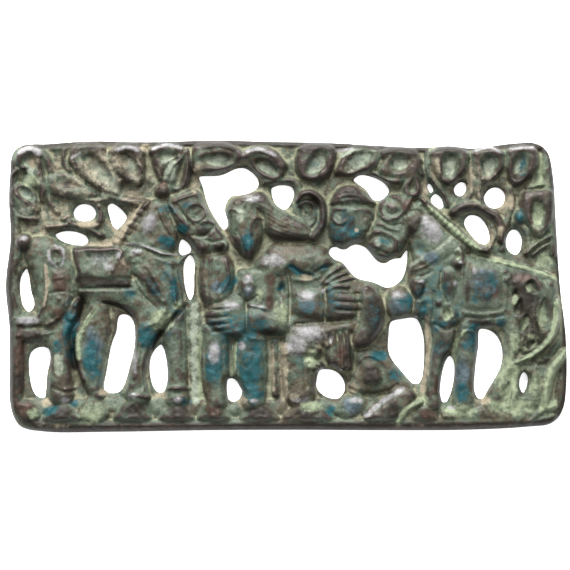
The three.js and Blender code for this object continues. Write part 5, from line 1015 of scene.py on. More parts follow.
    def dress(self) -> None:
        """Draws the pleats, the knot, the pendant, the straps and the hanging ornaments."""
        for x in (-20.3, -18.6, -16.9):
            self.ridge(((x + 0.2, 7), (x, 3), (x + 0.3, -2.4)), 0.9, (-0.3, -0.55, -0.3))
        self.ridge(((-15.4, 7), (-14.9, 4), (-14.8, 1), (-16.6, -1.8)), 1.1, 0.5)
        self.ridge(((-16.1, 5), (-15.9, 2), (-17.4, -1)), 0.9, -0.6)
        self.lift(Oval(-10, 0, 2.7, 3.9), self.arm)
        self.sink(Oval(-9.7, -1.2, 1.4, 2), self.arm - 1, 0.8)
        self.swell(Oval(-9.7, -1.2, 0.8, 1.3), 0.5)
        self.ridge(((-12.4, -2.4), (-10, -4.1), (-7.6, -2.6)), 0.9, -0.6)
        self.lift(Drop(-1.6, -6.5, 8.4, 4.6, 90, 2.2), self.arm)
        self.ridge(((-0.3, 4), (0.4, 0.4), (0.5, -4), (0.3, -9)), 1, -1.3)
        self.swell(Oval(-1.5, -0.6, 1.1, 2), -1.6)
        self.ridge(((0.9, 4.8), (3, 3.3), (5.4, 2.6)), 1.2, -1.0)
        self.ridge(((2, 1.4), (5, 1.2), (8, 2.4)), 1.5, 0.5)
        self.ridge(((6.8, 3.4), (9.2, 4.6), (10.8, 4.8)), 1.1, -0.8)
        for points in (
            ((8.2, 0.6), (10.4, 2.8), (14.6, 5.4)),
            ((9.6, 0.6), (12.2, 2.2), (16, 3.8)),
            ((10.4, 0.2), (13.4, 1.3), (17, 2)),
        ):
            self.stroke(points, (1.1, 1.5, 0.9), self.body + 0.3, 0.1)
        self.ridge(((9, 1.4), (12, 3.1), (15, 4.2)), 0.7, -0.5)
        self.ridge(((10.4, 1), (13, 2), (16.2, 2.7)), 0.7, -0.5)
        # The fringe over the thigh, with rounded ends, and the ornament beside it.
        for x, low in ((9.9, -14.6), (11.6, -18.6), (13.3, -20.4), (14.9, -20.2)):
            self.stroke(((x - 0.4, -11.6), (x, -15), (x + 0.2, low)), (1.6, 1.9, 2.1), self.body + 0.6, 0.1)
        self.form(((9.4, -13), (15.8, -13), (16.8, -17), (15, -21), (10.4, -20), (9, -17)), 2.2, self.body)
        for x, y, radius in ((6.2, -15.8, 2.1), (5.4, -19.4, 1.7), (7.2, -20.2, 1.5)):
            self.lift(Oval(x, y, radius + 0.5, radius + 0.4), self.leg + 0.7)
            self.swell(Oval(x, y, radius * 0.45, radius * 0.5), -0.8)
        self.ridge(((15.6, -8.9), (9, -9.2), (2, -9.6)), 1, -0.6)

    def left_head(self) -> None:
        """Draws the man who looks left and down: brow, nose, eye, mouth, ear, beard and swept hair."""
        self.form(((-15.4, 15), (-15.6, 19), (-13.8, 21.9), (-9, 22.6), (-6, 18), (-6.2, 12), (-8, 8),
                   (-10, 6.4), (-12, 8), (-14.2, 11)), 3.2, self.head)
        self.lift(Drop(-9.9, 10.2, 7.8, 5, -82, 2.4), self.head + 0.4, 1)
        self.stroke(((-15.3, 17.4), (-16, 15.2), (-15.1, 14.4)), 1.5, self.head - 0.8)
        self.ridge(((-15.3, 18.4), (-13.6, 18.8), (-11.9, 17.9)), 1, 0.5)
        self.swell(Oval(-13.7, 16.9, 1.3, 0.8), -0.5)
        self.swell(Oval(-13.6, 16.9, 0.8, 0.5), 0.5)
        self.ridge(((-15.2, 12.9), (-14, 12.9), (-12.9, 12.5)), 0.7, -0.5)
        self.ridge(((-12.7, 13.6), (-11.6, 11.4), (-10.9, 8)), 0.9, -0.4)
        for x in (-10.4, -9.3):
            self.ridge(((x, 12.4), (x + 0.4, 10), (x + 0.3, 7.6)), 0.8, -0.3)
        self.swell(Oval(-7.4, 14.6, 1.5, 2), -0.7)
        self.ridge(((-9, 12.8), (-9.1, 14.8), (-8, 16.8), (-6.2, 16.6)), 1, 0.8)
        self.form(((-13.6, 21.6), (-10, 23.1), (-6.6, 23.4), (-3.6, 20.8), (1, 17.6), (5.4, 15.4),
                   (6.2, 12.4), (4.4, 10.8), (0, 10.6), (-4, 11.6), (-6, 14), (-7, 17.6), (-11, 18.8)), 2.6,
                  self.hair)
        for k in range(7):
            lock = ((-9.6 + 0.5 * k, 21.7 - 0.95 * k), (-5.2 + 0.2 * k, 19.5 - 1.15 * k),
                    (0.2, 16.4 - 0.85 * k), (4.8 - 0.15 * k, 13.8 - 0.45 * k))
            self.ridge(lock, 0.8, -0.35)
        for k in range(4):
            self.ridge(((-13.4 + 1.2 * k, 20.6 - 0.6 * k), (-12 + 1.2 * k, 22 - 0.2 * k)), 0.8, 0.3)

    def hair_loop(self) -> None:
        """Draws the loop of hair between the heads."""
        self.lift(Oval(4.9, 17.8, 4.2, 5), 3.4)
        self.sink(Oval(4.5, 18.5, 2.2, 2.3), 2.1, 0.8)
        self.stroke(((2.4, 21.4), (3.6, 22.8), (5.8, 23), (7.9, 21.4), (8.7, 18.4), (8.3, 15), (6.2, 12)),
                    (1.6, 2, 2.2, 2.6), self.hair - 0.3)
        self.stroke(((2.8, 19.9), (4.4, 20.9), (6.2, 20.3), (6.9, 18.4), (6.6, 16.2), (5.4, 14.8)), 1.2, 4)
        self.ridge(((7.2, 22), (8, 18.4), (7.6, 15)), 0.9, -0.4)
        self.swell(Oval(4.6, 18.6, 1, 1.2), 0.8)

    def right_head(self) -> None:
        """Draws the man who looks right: cap of hair, brow, nose, ear, cheek and chin."""
        self.form(((10.4, 19.4), (12, 21.2), (16, 21.4), (20.6, 20), (21.6, 17.6), (20.9, 14.6), (19.6, 12),
                   (17, 10.2), (12.4, 9.6), (10.4, 12)), 3, self.head)
        self.form(((10.6, 19.8), (11, 22.4), (13.4, 24.8), (16.4, 25.2), (19, 23.8), (22, 20.4), (17, 19.6)),
                  2.6, self.hair)
        for points in (
            ((12, 24), (14.4, 24.6), (16.8, 24.2)),
            ((11.6, 22.9), (14.6, 23.6), (18.2, 22.9)),
            ((12.2, 21.8), (15.6, 22.5), (19.4, 21.7)),
            ((12.2, 20.8), (16, 21.2), (20.4, 20.6)),
        ):
            self.ridge(points, 0.8, 0.35)
        self.ridge(((11, 19.9), (16, 19.6), (21.8, 20)), 0.9, -0.4)
        self.ridge(((14.2, 18.9), (11.6, 18.8), (11, 16.8), (12.6, 15.2), (14.4, 16)), 1.1, 0.7)
        self.swell(Oval(12.9, 17.1, 0.8, 0.8), -0.4)
        self.ridge(((16.4, 18.6), (18.6, 18.9), (20.6, 18.1)), 1, 0.4)
        self.swell(Oval(18.7, 17.2, 1.3, 0.8), -0.4)
        self.swell(Oval(18.7, 17.2, 0.8, 0.5), 0.45)
        self.ridge(((21, 17.6), (21.6, 15.8), (20.6, 15.2)), 1.2, 0.6)
        self.ridge(((18.6, 13.2), (20.4, 13.4)), 0.7, -0.5)
        self.swell(Oval(17.4, 11.6, 1.6, 1), 0.35)


@dataclass
class Ground(Carving):
    """The row of low rocks along the foot."""

    rock: float = 4.5  # height of the rocks
    shelf: float = 3.0  # height of the ground between them
    foot: float = -33.6  # where the rocks end, over the plain bar of the rim

    def carve(self) -> None:
        """Draws the ground, then each rock with a flat face below its peak."""
        self.stroke(((-66, -31), (-40, -30.6), (-10, -30.8), (16, -30.8), (40, -31.4), (64, -31)), 5,
                    self.shelf)
        for x, peak, left, right in (
            (-56, -29.3, -61.8, -51), (-38.4, -27.9, -44, -33.6), (-27.4, -29.4, -32.6, -22.8),
            (-18.8, -28.9, -23, -13.6), (-6.8, -29.6, -12.4, -1.4), (4.6, -28, -2, 12),
            (34, -29.6, 30.6, 38),
        ):
            self.boulder(x, peak, left, right)
        # The pale mound at the left, the slab at the right, and the low ground under the right horse.
        self.form(((-53, -32), (-51.4, -29), (-48, -26.8), (-46, -28.6), (-44.2, -32), (-46.6, -34.6),
                   (-51, -34.4)), 2.4, self.rock - 0.2)
        self.form(((11.8, -30), (14, -27.6), (18, -27.4), (20, -29.6), (17, -33), (13, -33.6)), 2.2,
                  self.rock - 0.6)
        self.form(((18.4, -33.4), (22.6, -29.6), (27.6, -25.6), (30.4, -25.4), (32, -27.4), (30.4, -30.6),
                   (29, -33.6)), 2.2, self.rock + 0.4)
        self.ridge(((19, -32.4), (23, -29), (27.8, -25.6)), 1.7, 0.5)
        self.stroke(((27.4, -34), (29.6, -31), (33, -29)), 1.8, self.rock)
        self.form(((38, -33.4), (38.6, -30.8), (43, -30.4), (48, -30), (52, -28), (58, -29.6), (62, -30.6),
                   (61, -33.6), (50, -34)), 2, self.rock - 0.6)
        self.stroke(((60, -34), (62.8, -31.4), (66.6, -29.8)), 2, self.rock - 0.4)
        self.form(((-68, -29), (-65, -28.4), (-62.2, -30), (-61.8, -33.4), (-66.4, -34.6)), 2,
                  self.rock - 0.2)
        self.ridge(((-63.8, -30.4), (-63, -33.4)), 1.2, -0.6)
        self.ridge(((-52, -35), (-20, -34.9), (8, -34.8)), 0.7, 0.3)

    def boulder(self, x: float, peak: float, left: float, right: float) -> None:
        """Draws a rock.

        Args:
            x: where its peak is along the plaque.
            peak: where its peak is up the plaque.
            left: where its foot begins.
            right: where its foot ends.
        """
        waist = (peak + self.foot) / 2
        self.form(((left, self.foot), ((left + x) / 2 - 0.6, waist + 0.6), (x - 1, peak), (x + 1, peak),
                   ((right + x) / 2 + 0.6, waist + 0.4), (right, self.foot)), 2, self.rock)
        self.form(((left + 2.4, self.foot), (x, waist + 0.6), (right - 2.2, self.foot)), 1.6,
                  self.rock + 0.4, 0.1)


@dataclass
class Outline:
    """The outer edge and the openings in the drawing's millimetres, read from the solid's flat back."""

    reach: float = 2.4  # how far from an edge its distance is measured
    flat: float = 0.01  # the height under which a corner belongs to the back
    loops: list[np.ndarray] = field(default_factory=list)

    def read(self, node: bpy.types.Object) -> None:
        """Takes the loops from a solid's flat back.

        Args:
            node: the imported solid.
        """
        mesh = node.data
        places = places_of(mesh) / MM
        corners = np.empty(len(mesh.loops), np.int32)
        mesh.loops.foreach_get("vertex_index", corners)
        faces = corners.reshape(-1, 3)
        faces = faces[(places[faces, 2] < self.flat).all(axis=1)]
        spots, same = np.unique(np.round(places[:, :2], 3), axis=0, return_inverse=True)
        edges = {(int(a), int(b)) for face in same.reshape(-1)[faces]
                 for a, b in zip(face, np.roll(face, -1))}
        after = {a: b for a, b in edges if (b, a) not in edges}
        while after:
            first, at = after.popitem()
            loop = [first]
            while at != first:
                loop.append(at)
                at = after.pop(at)
            self.loops.append(smooth_curve(spots[loop] + DRAWING_MIDDLE, True, 3))
        self.loops.sort(key=lambda loop: -np.ptp(loop[:, 0]))

    def depth(self, relief: Relief) -> np.ndarray:
        """How far inside the metal each place of the field lies.

        Args:
            relief: the field whose places are taken.

        Returns:
            The distance from the nearest edge, below zero off the metal, and never beyond the reach.
        """
        away = np.full(relief.z.shape, self.reach)
        x, y = np.meshgrid(relief.x, relief.y)
        for loop in self.loops:
            for ends in zip(loop, np.roll(loop, -1, axis=0)):
                rows, columns = relief.places(box_of(np.stack(ends), self.reach))
                here = nearest(np.stack(ends), x[rows, columns], y[rows, columns])[0]
                away[rows, columns] = np.minimum(away[rows, columns], here)
        metal = inside(self.loops[0], x, y)
        for loop in self.loops[1:]:
            rows, columns = relief.places(box_of(loop, 0.0))
            metal[rows, columns] &= ~inside(loop, x[rows, columns], y[rows, columns])
        return np.where(metal, away, -away)


@dataclass
class Casting:
    """The closed mesh of the plaque: the relief above, the back below and the walls between them.

    Args:
        relief: the field of heights.
        depth: how far inside the metal each place lies.
        back: the height of the back at each place.
    """

    relief: Relief
    depth: np.ndarray
    back: np.ndarray
    most_faces: int = 190000
    snap: float = 0.3  # the share of a step within which a place is moved onto the edge
    least_lean: float = 0.25  # the least square of the depth's slope that is reckoned with

    def surface(self) -> tuple[np.ndarray, np.ndarray]:
        """Triangles over the metal, cut off along its edges.

        Returns:
            The places in millimetres, each with its height, its depth inside the edge and the back's height;
            and the triangles.
        """
        relief = self.relief
        x, y = np.meshgrid(relief.x, relief.y)
        slope_y, slope_x = np.gradient(self.depth, relief.step)
        lean = np.maximum(slope_x**2 + slope_y**2, self.least_lean)
        near = np.abs(self.depth) < self.snap * relief.step
        shift = np.where(near, self.depth, 0.0) / lean
        height = np.where(near, EDGE, relief.z)
        depth = np.where(near, 0.0, self.depth)
        spots = np.stack([x - shift * slope_x, y - shift * slope_y, height, depth, self.back], axis=-1)
        spots = spots.reshape(-1, 5)
        faces = self.cells(relief.z.shape)
        side = np.sign(spots[faces, 3])
        whole = (side >= 0).all(axis=1) & (side > 0).any(axis=1)
        crossed = (side < 0).any(axis=1) & (side > 0).any(axis=1)
        spots, cut = self.split(spots, faces[crossed], side[crossed])
        faces = np.concatenate([faces[whole], cut])
        used, faces = np.unique(faces, return_inverse=True)
        return spots[used], faces.reshape(-1, 3)

    @staticmethod
    def cells(shape: tuple[int, int]) -> np.ndarray:
        """Two triangles for each cell of a field, with the diagonals turned by turns.

        Args:
            shape: the rows and the columns of the field.

        Returns:
            The triangles.
        """
        row, column = np.mgrid[0:shape[0] - 1, 0:shape[1] - 1]
        a = row * shape[1] + column
        b, c, d = a + 1, a + shape[1] + 1, a + shape[1]
        odd = ((row + column) % 2 == 1)[..., None]
        first = np.where(odd, np.stack([a, b, d], -1), np.stack([a, b, c], -1))
        second = np.where(odd, np.stack([b, c, d], -1), np.stack([a, c, d], -1))
        return np.concatenate([first.reshape(-1, 3), second.reshape(-1, 3)])

    @staticmethod
    def split(spots: np.ndarray, faces: np.ndarray, side: np.ndarray) -> tuple[np.ndarray, np.ndarray]:
        """Cuts triangles that cross the edge of the metal.

        Args:
            spots: all places, with their depth in column 3.
            faces: the triangles that cross it.
            side: for each of their corners 1 inside, 0 on the edge and -1 outside.

        Returns:
            The places with the new ones added, and the triangles inside.
        """
        first, second = side[:, [0, 1]].T > 0
        turns = np.where(first & (side[:, 2] <= 0), 0, np.where(second & ~first, 1, 2))
        order = (np.arange(3)[None, :] + turns[:, None]) % 3
        faces = np.take_along_axis(faces, order, axis=1)
        side = np.take_along_axis(side, order, axis=1)
        two = side[:, 1] > 0
        ends = np.where(two[:, None], faces[:, [1, 2]], faces[:, [0, 1]])
        pairs = np.concatenate([ends, faces[:, [0, 2]]])
        keys = pairs.min(1).astype(np.int64) * len(spots) + pairs.max(1)
        keys, place = np.unique(keys, return_inverse=True)
        low, high = keys // len(spots), keys % len(spots)
        share = (spots[low, 3] / (spots[low, 3] - spots[high, 3]))[:, None]
        new = spots[low] + share * (spots[high] - spots[low])
        new[:, 2], new[:, 3] = EDGE, 0.0
        place = place.reshape(2, -1) + len(spots)
        ahead = np.where(side[:, 1] == 0, faces[:, 1], place[0])
        behind = np.where(side[:, 2] == 0, faces[:, 2], place[1])
        inner = np.stack([faces[:, 0], ahead, behind], 1)
        outer = np.stack([faces[:, 0], faces[:, 1], ahead], 1)[two]
        return np.concatenate([spots, new]), np.concatenate([inner, outer])

    def piece(self, name: str, middle: Point) -> bpy.types.Object:
        """The closed mesh in metres.

        Args:
            name: the object's name.
            middle: the place of the drawing that lies on the origin.

        Returns:
            The object, linked to the scene.
        """
        spots, faces = self.surface()
        count = len(spots)
        edges = faces[:, [0, 1, 1, 2, 2, 0]].reshape(-1, 2).astype(np.int64)
        rim = edges[~np.isin(edges[:, 0] * count + edges[:, 1], edges[:, 1] * count + edges[:, 0])]
        u, v = rim.T
        walls = np.concatenate([np.stack([v, u, u + count], 1), np.stack([v, u + count, v + count], 1)])
        places = np.concatenate([spots[:, :3], spots[:, [0, 1, 4]]])
        places[:, :2] -= middle
        made = mesh_of(name, places * MM, np.concatenate([faces, faces[:, ::-1] + count, walls]))
        total = len(made.data.polygons)
        if total > self.most_faces:
            fewer = made.modifiers.new("fewer_faces", "DECIMATE")
            fewer.ratio = self.most_faces / total
            thinned = made.evaluated_get(bpy.context.evaluated_depsgraph_get())
            made.data = bpy.data.meshes.new_from_object(thinned)
            made.modifiers.clear()
        made.data.polygons.foreach_set("use_smooth", np.ones(len(made.data.polygons), bool))
        return made


def mesh_of(name: str, places: np.ndarray, faces: np.ndarray) -> bpy.types.Object:
    """An object with a mesh of triangles.

    Args:
        name: its name.
        places: its vertices, in metres.
        faces: the three vertices of each triangle.

    Returns:
        The object, linked to the scene.
    """
    mesh = bpy.data.meshes.new(name)
    mesh.vertices.add(len(places))
    mesh.vertices.foreach_set("co", places.astype(np.float32).ravel())
    mesh.loops.add(faces.size)
    mesh.loops.foreach_set("vertex_index", faces.astype(np.int32).ravel())
    mesh.polygons.add(len(faces))
    mesh.polygons.foreach_set("loop_start", np.arange(0, faces.size, 3, dtype=np.int32))
    mesh.update(calc_edges=True)
    made = bpy.data.objects.new(name, mesh)
    bpy.context.scene.collection.objects.link(made)
    return made


def places_of(mesh: bpy.types.Mesh) -> np.ndarray:
    """The vertices of a mesh.

    Args:
        mesh: the mesh.

    Returns:
        Their places, one row for each.
    """
    places = np.empty(len(mesh.vertices) * 3, np.float32)
    mesh.vertices.foreach_get("co", places)
    return places.reshape(-1, 3).astype(float)


class Tint(Enum):
    """The colours that lie on the bronze in patches. Among them are a painted highlight, pale patches laid
    where the light would catch the metal, and dark polish that is partly painted shade.
    """

    TEAL = "teal"
    GREEN = "green"
    EARTH = "earth"
    RUST = "rust"
    # A painted highlight: pale patches laid where the light would shine on the metal.
    SHEEN = "sheen"
    # Dark polish, and painted shade in gaps and under forms.
    DARK = "dark"
    HAZE = "haze"
    SLATE = "slate"


@dataclass
class Patches:
    """Where the coloured patches lie, as one field of shares for each tint."""

    relief: Relief
    fields: dict[Tint, np.ndarray] = field(default_factory=dict)
    full: float = 1.1  # how much steeper a patch rises than its mark, so that its middle is full

    def lay(self, tint: Tint, mark: Mark, amount: float = 1.0) -> None:
        """Lays a patch, strongest in its middle.

        Args:
            tint: its tint.
            mark: its form.
            amount: its share in the middle.
        """
        share = self.fields.setdefault(tint, np.zeros(self.relief.z.shape))
        part, u, _ = self.relief.reached(mark)
        share[part] = np.maximum(share[part], amount * ease(np.clip(self.full * u, 0.0, 1.0)))

    def paint(self) -> None:
        """Lays all the patches."""
        for tint, marks in PATCHES.items():
            for mark in marks:
                self.lay(tint, mark, STRENGTH.get(tint, 1.0))
        for bowl in self.relief.bowls:
            self.lay(Tint.HAZE, bowl)
        for tint, washes in WASHES.items():
            for amount, mark in washes:
                self.lay(tint, mark, amount)


STRENGTH: dict[Tint, float] = {Tint.TEAL: 0.86, Tint.SHEEN: 0.86}

PATCHES: dict[Tint, tuple[Mark, ...]] = {
    # Dark brown polish on the rim, the saddles, the hoods and the rocks, and painted shade under the hair,
    # under the saddle's lip, in the gap between rump and thigh, and under the arms, the tail and the rump.
    Tint.DARK: (
        Line(((-21, 34.2), (-17, 34.8), (-13.6, 33.8)), 2), Line(((3, 33.6), (7, 34.8), (11, 33.8)), 2.2),
        Line(((23.6, 33.2), (27, 34.2), (31.4, 33)), 3.2), Line(((37, 33.6), (40, 34.2), (43.6, 33.2)), 2),
        Oval(-54.6, 25, 4, 2.2), Line(((-53.4, 33), (-50, 34.2), (-46, 33.8)), 1.6),
        Oval(15.6, 22.8, 4, 2.2),
        Line(((-69.4, 30), (-69.6, 10), (-69.8, -5), (-69, -20), (-67, -31), (-61, -35), (-40, -35.3)), 5),
        Line(((-40, -35.3), (0, -35.2), (30, -35), (62, -35)), 4), Line(((-66.6, -10), (-66.8, -26)), 4.4),
        Line(((69.4, -6), (69.6, -18), (69, -29), (65, -33.6), (58, -35)), 3.4),
        Line(((-66, 34.6), (-50, 35.6), (-35, 35.4), (-18, 35.6), (-5, 35.6), (10, 35.2), (24, 34.4),
              (34, 34)), 3),
        Line(((66, 31), (67, 14), (68.6, -2)), 3.4),
        Line(((38, 34), (46, 34.4), (52, 34.6), (61, 35), (66, 32.6)), 3),
        Line(((-52, 1.4), (-46, 0.8), (-40, 0.4)), 3.8),
        Line(((-51.6, -3), (-53, -9), (-53.8, -14), (-53.2, -20)), 4.4),
        Line(((-46, -4), (-42, -5), (-38.5, -7.5)), 1.8),
        Line(((-26, -5.5), (-29, -8.5), (-32, -12), (-34, -15.5)), 2.4), Oval(-33.6, 0, 2.6, 6, 30),
        Line(((42, 18.8), (47, 19.4), (51, 17)), 2.8), Oval(15, 15.4, 4.4, 4.4),
        Oval(31.8, 15.6, 2.4, 3.4, -30), Oval(21, -7.4, 4, 9), Oval(14.4, -17, 2.8, 5),
        Oval(21, -21.8, 4, 4.4), Oval(13.6, -4.8, 5.6, 4.4), Oval(0.6, 12.4, 6.4, 2.2, -8),
        Oval(6.8, 21, 3, 3.4), Oval(-5, -11.4, 5.6, 2), Oval(-17.4, -10, 3.4, 3), Oval(-7, -8.6, 3, 2.8),
        Oval(-56.6, -31.8, 5, 3.4), Oval(-38.4, -31, 5.4, 3.6), Oval(-27.2, -31.4, 5, 3.4),
        Oval(-18.6, -31.4, 4.8, 3.4), Oval(-7, -31.4, 5.6, 3.2), Oval(5, -31.6, 6, 2.6),
        Oval(26.4, -31.4, 4, 3.4), Oval(34.2, -32, 3.6, 2.2), Line(((58, 1), (60, -6), (61, -15)), 12),
        Oval(63, -19, 5.6, 1.8), Oval(-65.8, 9.4, 2.8, 2), Oval(33, -1, 2.4, 3), Oval(42.2, 4.8, 1.8, 2.4),
        Oval(40, 0.6, 2.2, 4.6), Oval(44.6, -1.4, 1.6, 5.6), Oval(48, -9.2, 5.6, 1.8),
        Oval(-41, 27, 3.6, 5, -20), Oval(-31, 23.6, 2.6, 2.4), Oval(-24, 29, 2, 6, -10),
        Oval(27, 34, 4, 1.4), Oval(-21, 13.6, 3, 2.4), Oval(-17, 9.6, 2.4, 2), Oval(30.4, 13.6, 2.4, 3),
        Oval(-63, -12.4, 5, 2), Oval(-55.6, -8, 2.4, 3), Oval(65.2, 19.6, 2.2, 6.6), Oval(58, 27, 5, 1.6),
    ),
    Tint.RUST: (
        Oval(-56.6, 1, 3.6, 6), Oval(-57, -7, 2.8, 3), Oval(-65, -31, 3.6, 3.4), Oval(34.4, -32, 3.6, 2),
        Oval(37, -25, 1.8, 4.4), Oval(-18.5, -31, 4, 2), Oval(29.5, 19.8, 2.2, 3.4, -20),
        Oval(-40.8, 4.8, 3, 3.8, -20), Oval(39.8, -1, 1.4, 3), Oval(37.4, -4.6, 1.8, 1.8),
        Oval(39.6, -9.6, 3, 1.6), Oval(-4.4, 1.4, 2.4, 3.6), Oval(-4.6, -4, 1.8, 4), Oval(13, -17, 2.2, 4),
        Oval(58, 2, 4, 1.8), Oval(51.4, -2, 1.8, 2), Oval(-66.8, -17, 2.4, 8), Oval(14, -3.4, 4, 2.6),
        Oval(-31, 25, 2.2, 2),
    ),
    Tint.TEAL: (
        Oval(-57.4, -15.4, 2.4, 2.6), Oval(-48.6, -19, 3.6, 9.6, 6), Oval(-28.4, -1.4, 2.6, 5),
        Oval(-30.4, 10.6, 3.6, 3.2), Oval(-35, -12.6, 4, 5.6, -10), Oval(-39.4, -2, 3, 2.6),
        Oval(-24.8, 20, 2.2, 1.4, 20), Oval(-26.4, 14.2, 2.8, 2), Oval(-9.2, -20.6, 5, 9.4),
        Oval(8.8, 4.4, 3, 1.6, 20), Line(((0.6, 4.8), (3, 3.2), (6, 2.6)), 2.6),
        Oval(-6.4, -9.4, 4, 2.4, -20), Oval(-14.6, 0.4, 3, 4.6, -20),
        Line(((-18.4, -18), (-18.4, -22.4)), 7.6), Line(((-9.2, -13.6), (-9.2, -26.6)), 9.6),
        Oval(-10, 11, 3, 5), Oval(-1.6, -0.4, 1.8, 2.4), Oval(16.8, 13.4, 3.4, 3.4),
        Oval(33.6, -6.4, 2.4, 5), Oval(45.6, -13.6, 4, 5), Oval(43.4, -26.6, 3, 4.6),
        Oval(50.4, 1.4, 3, 3.4), Oval(46.4, -3.6, 2, 2), Oval(46, -10.4, 4, 2), Oval(53, -8.8, 2.4, 2.4),
        Oval(26.6, -22, 3.4, 3), Oval(29, -3.6, 3.6, 3.6), Oval(10.6, -31, 2, 2.6), Oval(-59, -31, 4, 2, 30),
        Oval(-53.4, -29.4, 2, 1.6), Oval(-25, -29, 2.4, 2), Oval(57.8, 17, 2.4, 3), Oval(58.4, 30, 1.8, 4),
        Oval(22.6, -17.4, 4, 2.4), Oval(-30, 19, 4, 2.4),
    ),
    Tint.GREEN: (
        Oval(-48.6, -31.8, 5, 4), Oval(5.6, -30, 4.4, 2.4), Line(((27.6, -34), (30, -30.6), (34, -28.4)), 3),
        Oval(43, -31.2, 7, 3), Oval(57, -30, 9, 4), Oval(54.8, -22, 5, 10), Oval(65.4, -29.6, 3.2, 5),
        Oval(61.6, -25, 3, 6), Oval(51.6, -30, 4, 2.6), Oval(56.4, -3.6, 1.2, 2.4, -14),
        Oval(58.8, -9.4, 1.6, 3.2, -18), Oval(63.2, -7.4, 2.2, 5.6), Oval(60, -0.6, 1.6, 2),
        Line(((67, -4), (66.8, -8), (65.4, -12.6), (62, -16.4), (57, -19)), 2.6), Oval(56.4, -14, 2, 4.6),
        Line(((69, -17), (66.4, -20.6), (64.8, -25), (63.6, -31)), 4.8), Oval(64, 6.4, 3.6, 3.6),
        Oval(63, 29, 1.8, 6), Oval(62.4, 18, 2.6, 5.4), Oval(62.4, 25, 4, 1.6),
        Line(((35.4, 19), (41, 14), (47, 9)), 3), Oval(-31.4, -8.6, 4.4, 4), Oval(-27.4, -5, 2.2, 1.6),
        Oval(-63.4, -32, 2.4, 2.4), Oval(-1.6, -7, 2.8, 4.6), Oval(-64, 26, 4, 3), Oval(-7, -2.4, 1.4, 2.4),
        Oval(6, -18.6, 3.2, 4.4), Line(((-52.2, -18), (-52.4, -14), (-50.2, -9), (-47.6, -5.4)), 2.2),
        Line(((41.6, -20), (42, -14), (44, -11.4)), 1.6), Oval(39.5, -6.9, 2.6, 3),
        Line(((46, 7.8), (54, 5.6), (60, 4.2), (66.6, 1.6)), 1.8), Oval(30, 7, 1.4, 3.4),
        Line(((-21.9, -12), (-22.2, -20), (-21.6, -28)), 2), Line(((-13.3, -14), (-13.6, -22)), 2),
        Oval(42.3, 7.3, 1.2, 1.6),
    ),
    Tint.EARTH: (
        Oval(-63.4, 31, 2.6, 2.6), Oval(-57.4, 30, 2.2, 4), Oval(-41, 30.6, 2.6, 2.4),
        Oval(-35.5, 34.6, 2, 2), Oval(-38.5, 22.8, 4.4, 1.6, -10), Oval(-22.8, 27, 2.4, 6, -10),
        Line(((-44, 15), (-42, 12), (-46, 10.6)), 3.4), Line(((-37.4, 20), (-39.6, 16.4), (-42.4, 12)), 3.2),
        Oval(-58.4, 18, 2.4, 3), Oval(50.6, 12, 1.6, 4.4), Oval(45.5, 27, 1.6, 6),
        Line(((-0.8, -15), (-1.2, -21), (-1, -28)), 4), Oval(1.4, -27.8, 2.6, 1.6), Oval(-60, -29, 2.4, 2),
        Oval(-45.6, -26.5, 2.6, 2), Line(((-60.3, 5), (-59.9, 0), (-60.6, -5)), 1.6),
        Oval(-32, -27.4, 3, 1.6), Line(((34.6, -8), (34.9, -18), (33.6, -26)), 2.2),
        Oval(16, -25.4, 2.6, 2.6), Oval(8.4, -14.6, 2.4, 2), Oval(34, 24, 2, 4.4), Oval(-50, 15, 6, 1.8),
        Line(((-40, 10.4), (-46, 10.4), (-52, 10.4)), 1.6), Oval(17, 13.8, 1, 1),
        Line(((-18, 19), (-16, 14.6), (-14, 11)), 2), Oval(36.6, 29, 1.8, 5), Oval(53.4, 21, 2.6, 4),
        Oval(55.6, 20.6, 1.8, 3.4), Oval(53, 13.6, 1.6, 2), Line(((-4, -15), (-3.6, -26)), 1.6),
        Oval(-11.4, -29, 2.4, 3), Oval(49, -28.6, 2.4, 1.6), Oval(4.6, 2, 3, 1.6),
    ),
    Tint.HAZE: (
        Line(((-46.6, 29), (-44, 26.4), (-41.8, 23.6)), 4.6), Oval(-65, 18.6, 3.4, 1.8),
        Oval(-29.2, 29.4, 3.2, 4.6), Line(((-23.4, -5), (-23.4, -16), (-23, -29)), 3.4),
        Line(((13.4, 32.4), (17, 33.8), (21.6, 33.8)), 1.8), Oval(-57, -19.6, 2, 5), Oval(-12, 19, 1.6, 1.6),
        Oval(-12, 16.8, 1.6, 2), Oval(-15.8, 10, 1.6, 3.4), Line(((30.4, 5), (36.6, 8.8), (40.8, 12)), 1.7),
        Oval(-58.4, 18.2, 2.4, 2.6), Oval(42.2, 8.6, 1.6, 1.4), Oval(-23.6, 6.4, 2, 4),
    ),
    Tint.SLATE: (
        Oval(-48.4, -15, 3.6, 8, 8), Oval(27.4, -5, 4, 4), Oval(35.6, 7, 3.4, 3),
        Oval(-17.4, -0.4, 2.8, 2.4), Oval(-9.7, -1.2, 2, 2.6), Oval(5, -5, 4, 3), Oval(43.4, -22, 3, 8),
        Oval(16, -30, 4, 3.6), Oval(-18.2, -17, 3, 5),
    ),
    # Painted highlights on the tops of the leaves' rims, and on the upper slopes of bodies, heads, legs and
    # rocks.
    Tint.SHEEN: (
        Line(((-66.6, 33.4), (-64, 34.1), (-62, 33)), 3), Line(((-53.6, 31.8), (-51.6, 33)), 1.2),
        Line(((-42.6, 33.6), (-40, 34.4), (-37.4, 33.6)), 2),
        Line(((-33.6, 34), (-30, 35), (-26.6, 34.2)), 1.6),
        Line(((-10.2, 33.4), (-7.4, 34), (-3.4, 32.4)), 1.8), Line(((12, 33.6), (16, 34)), 1.4),
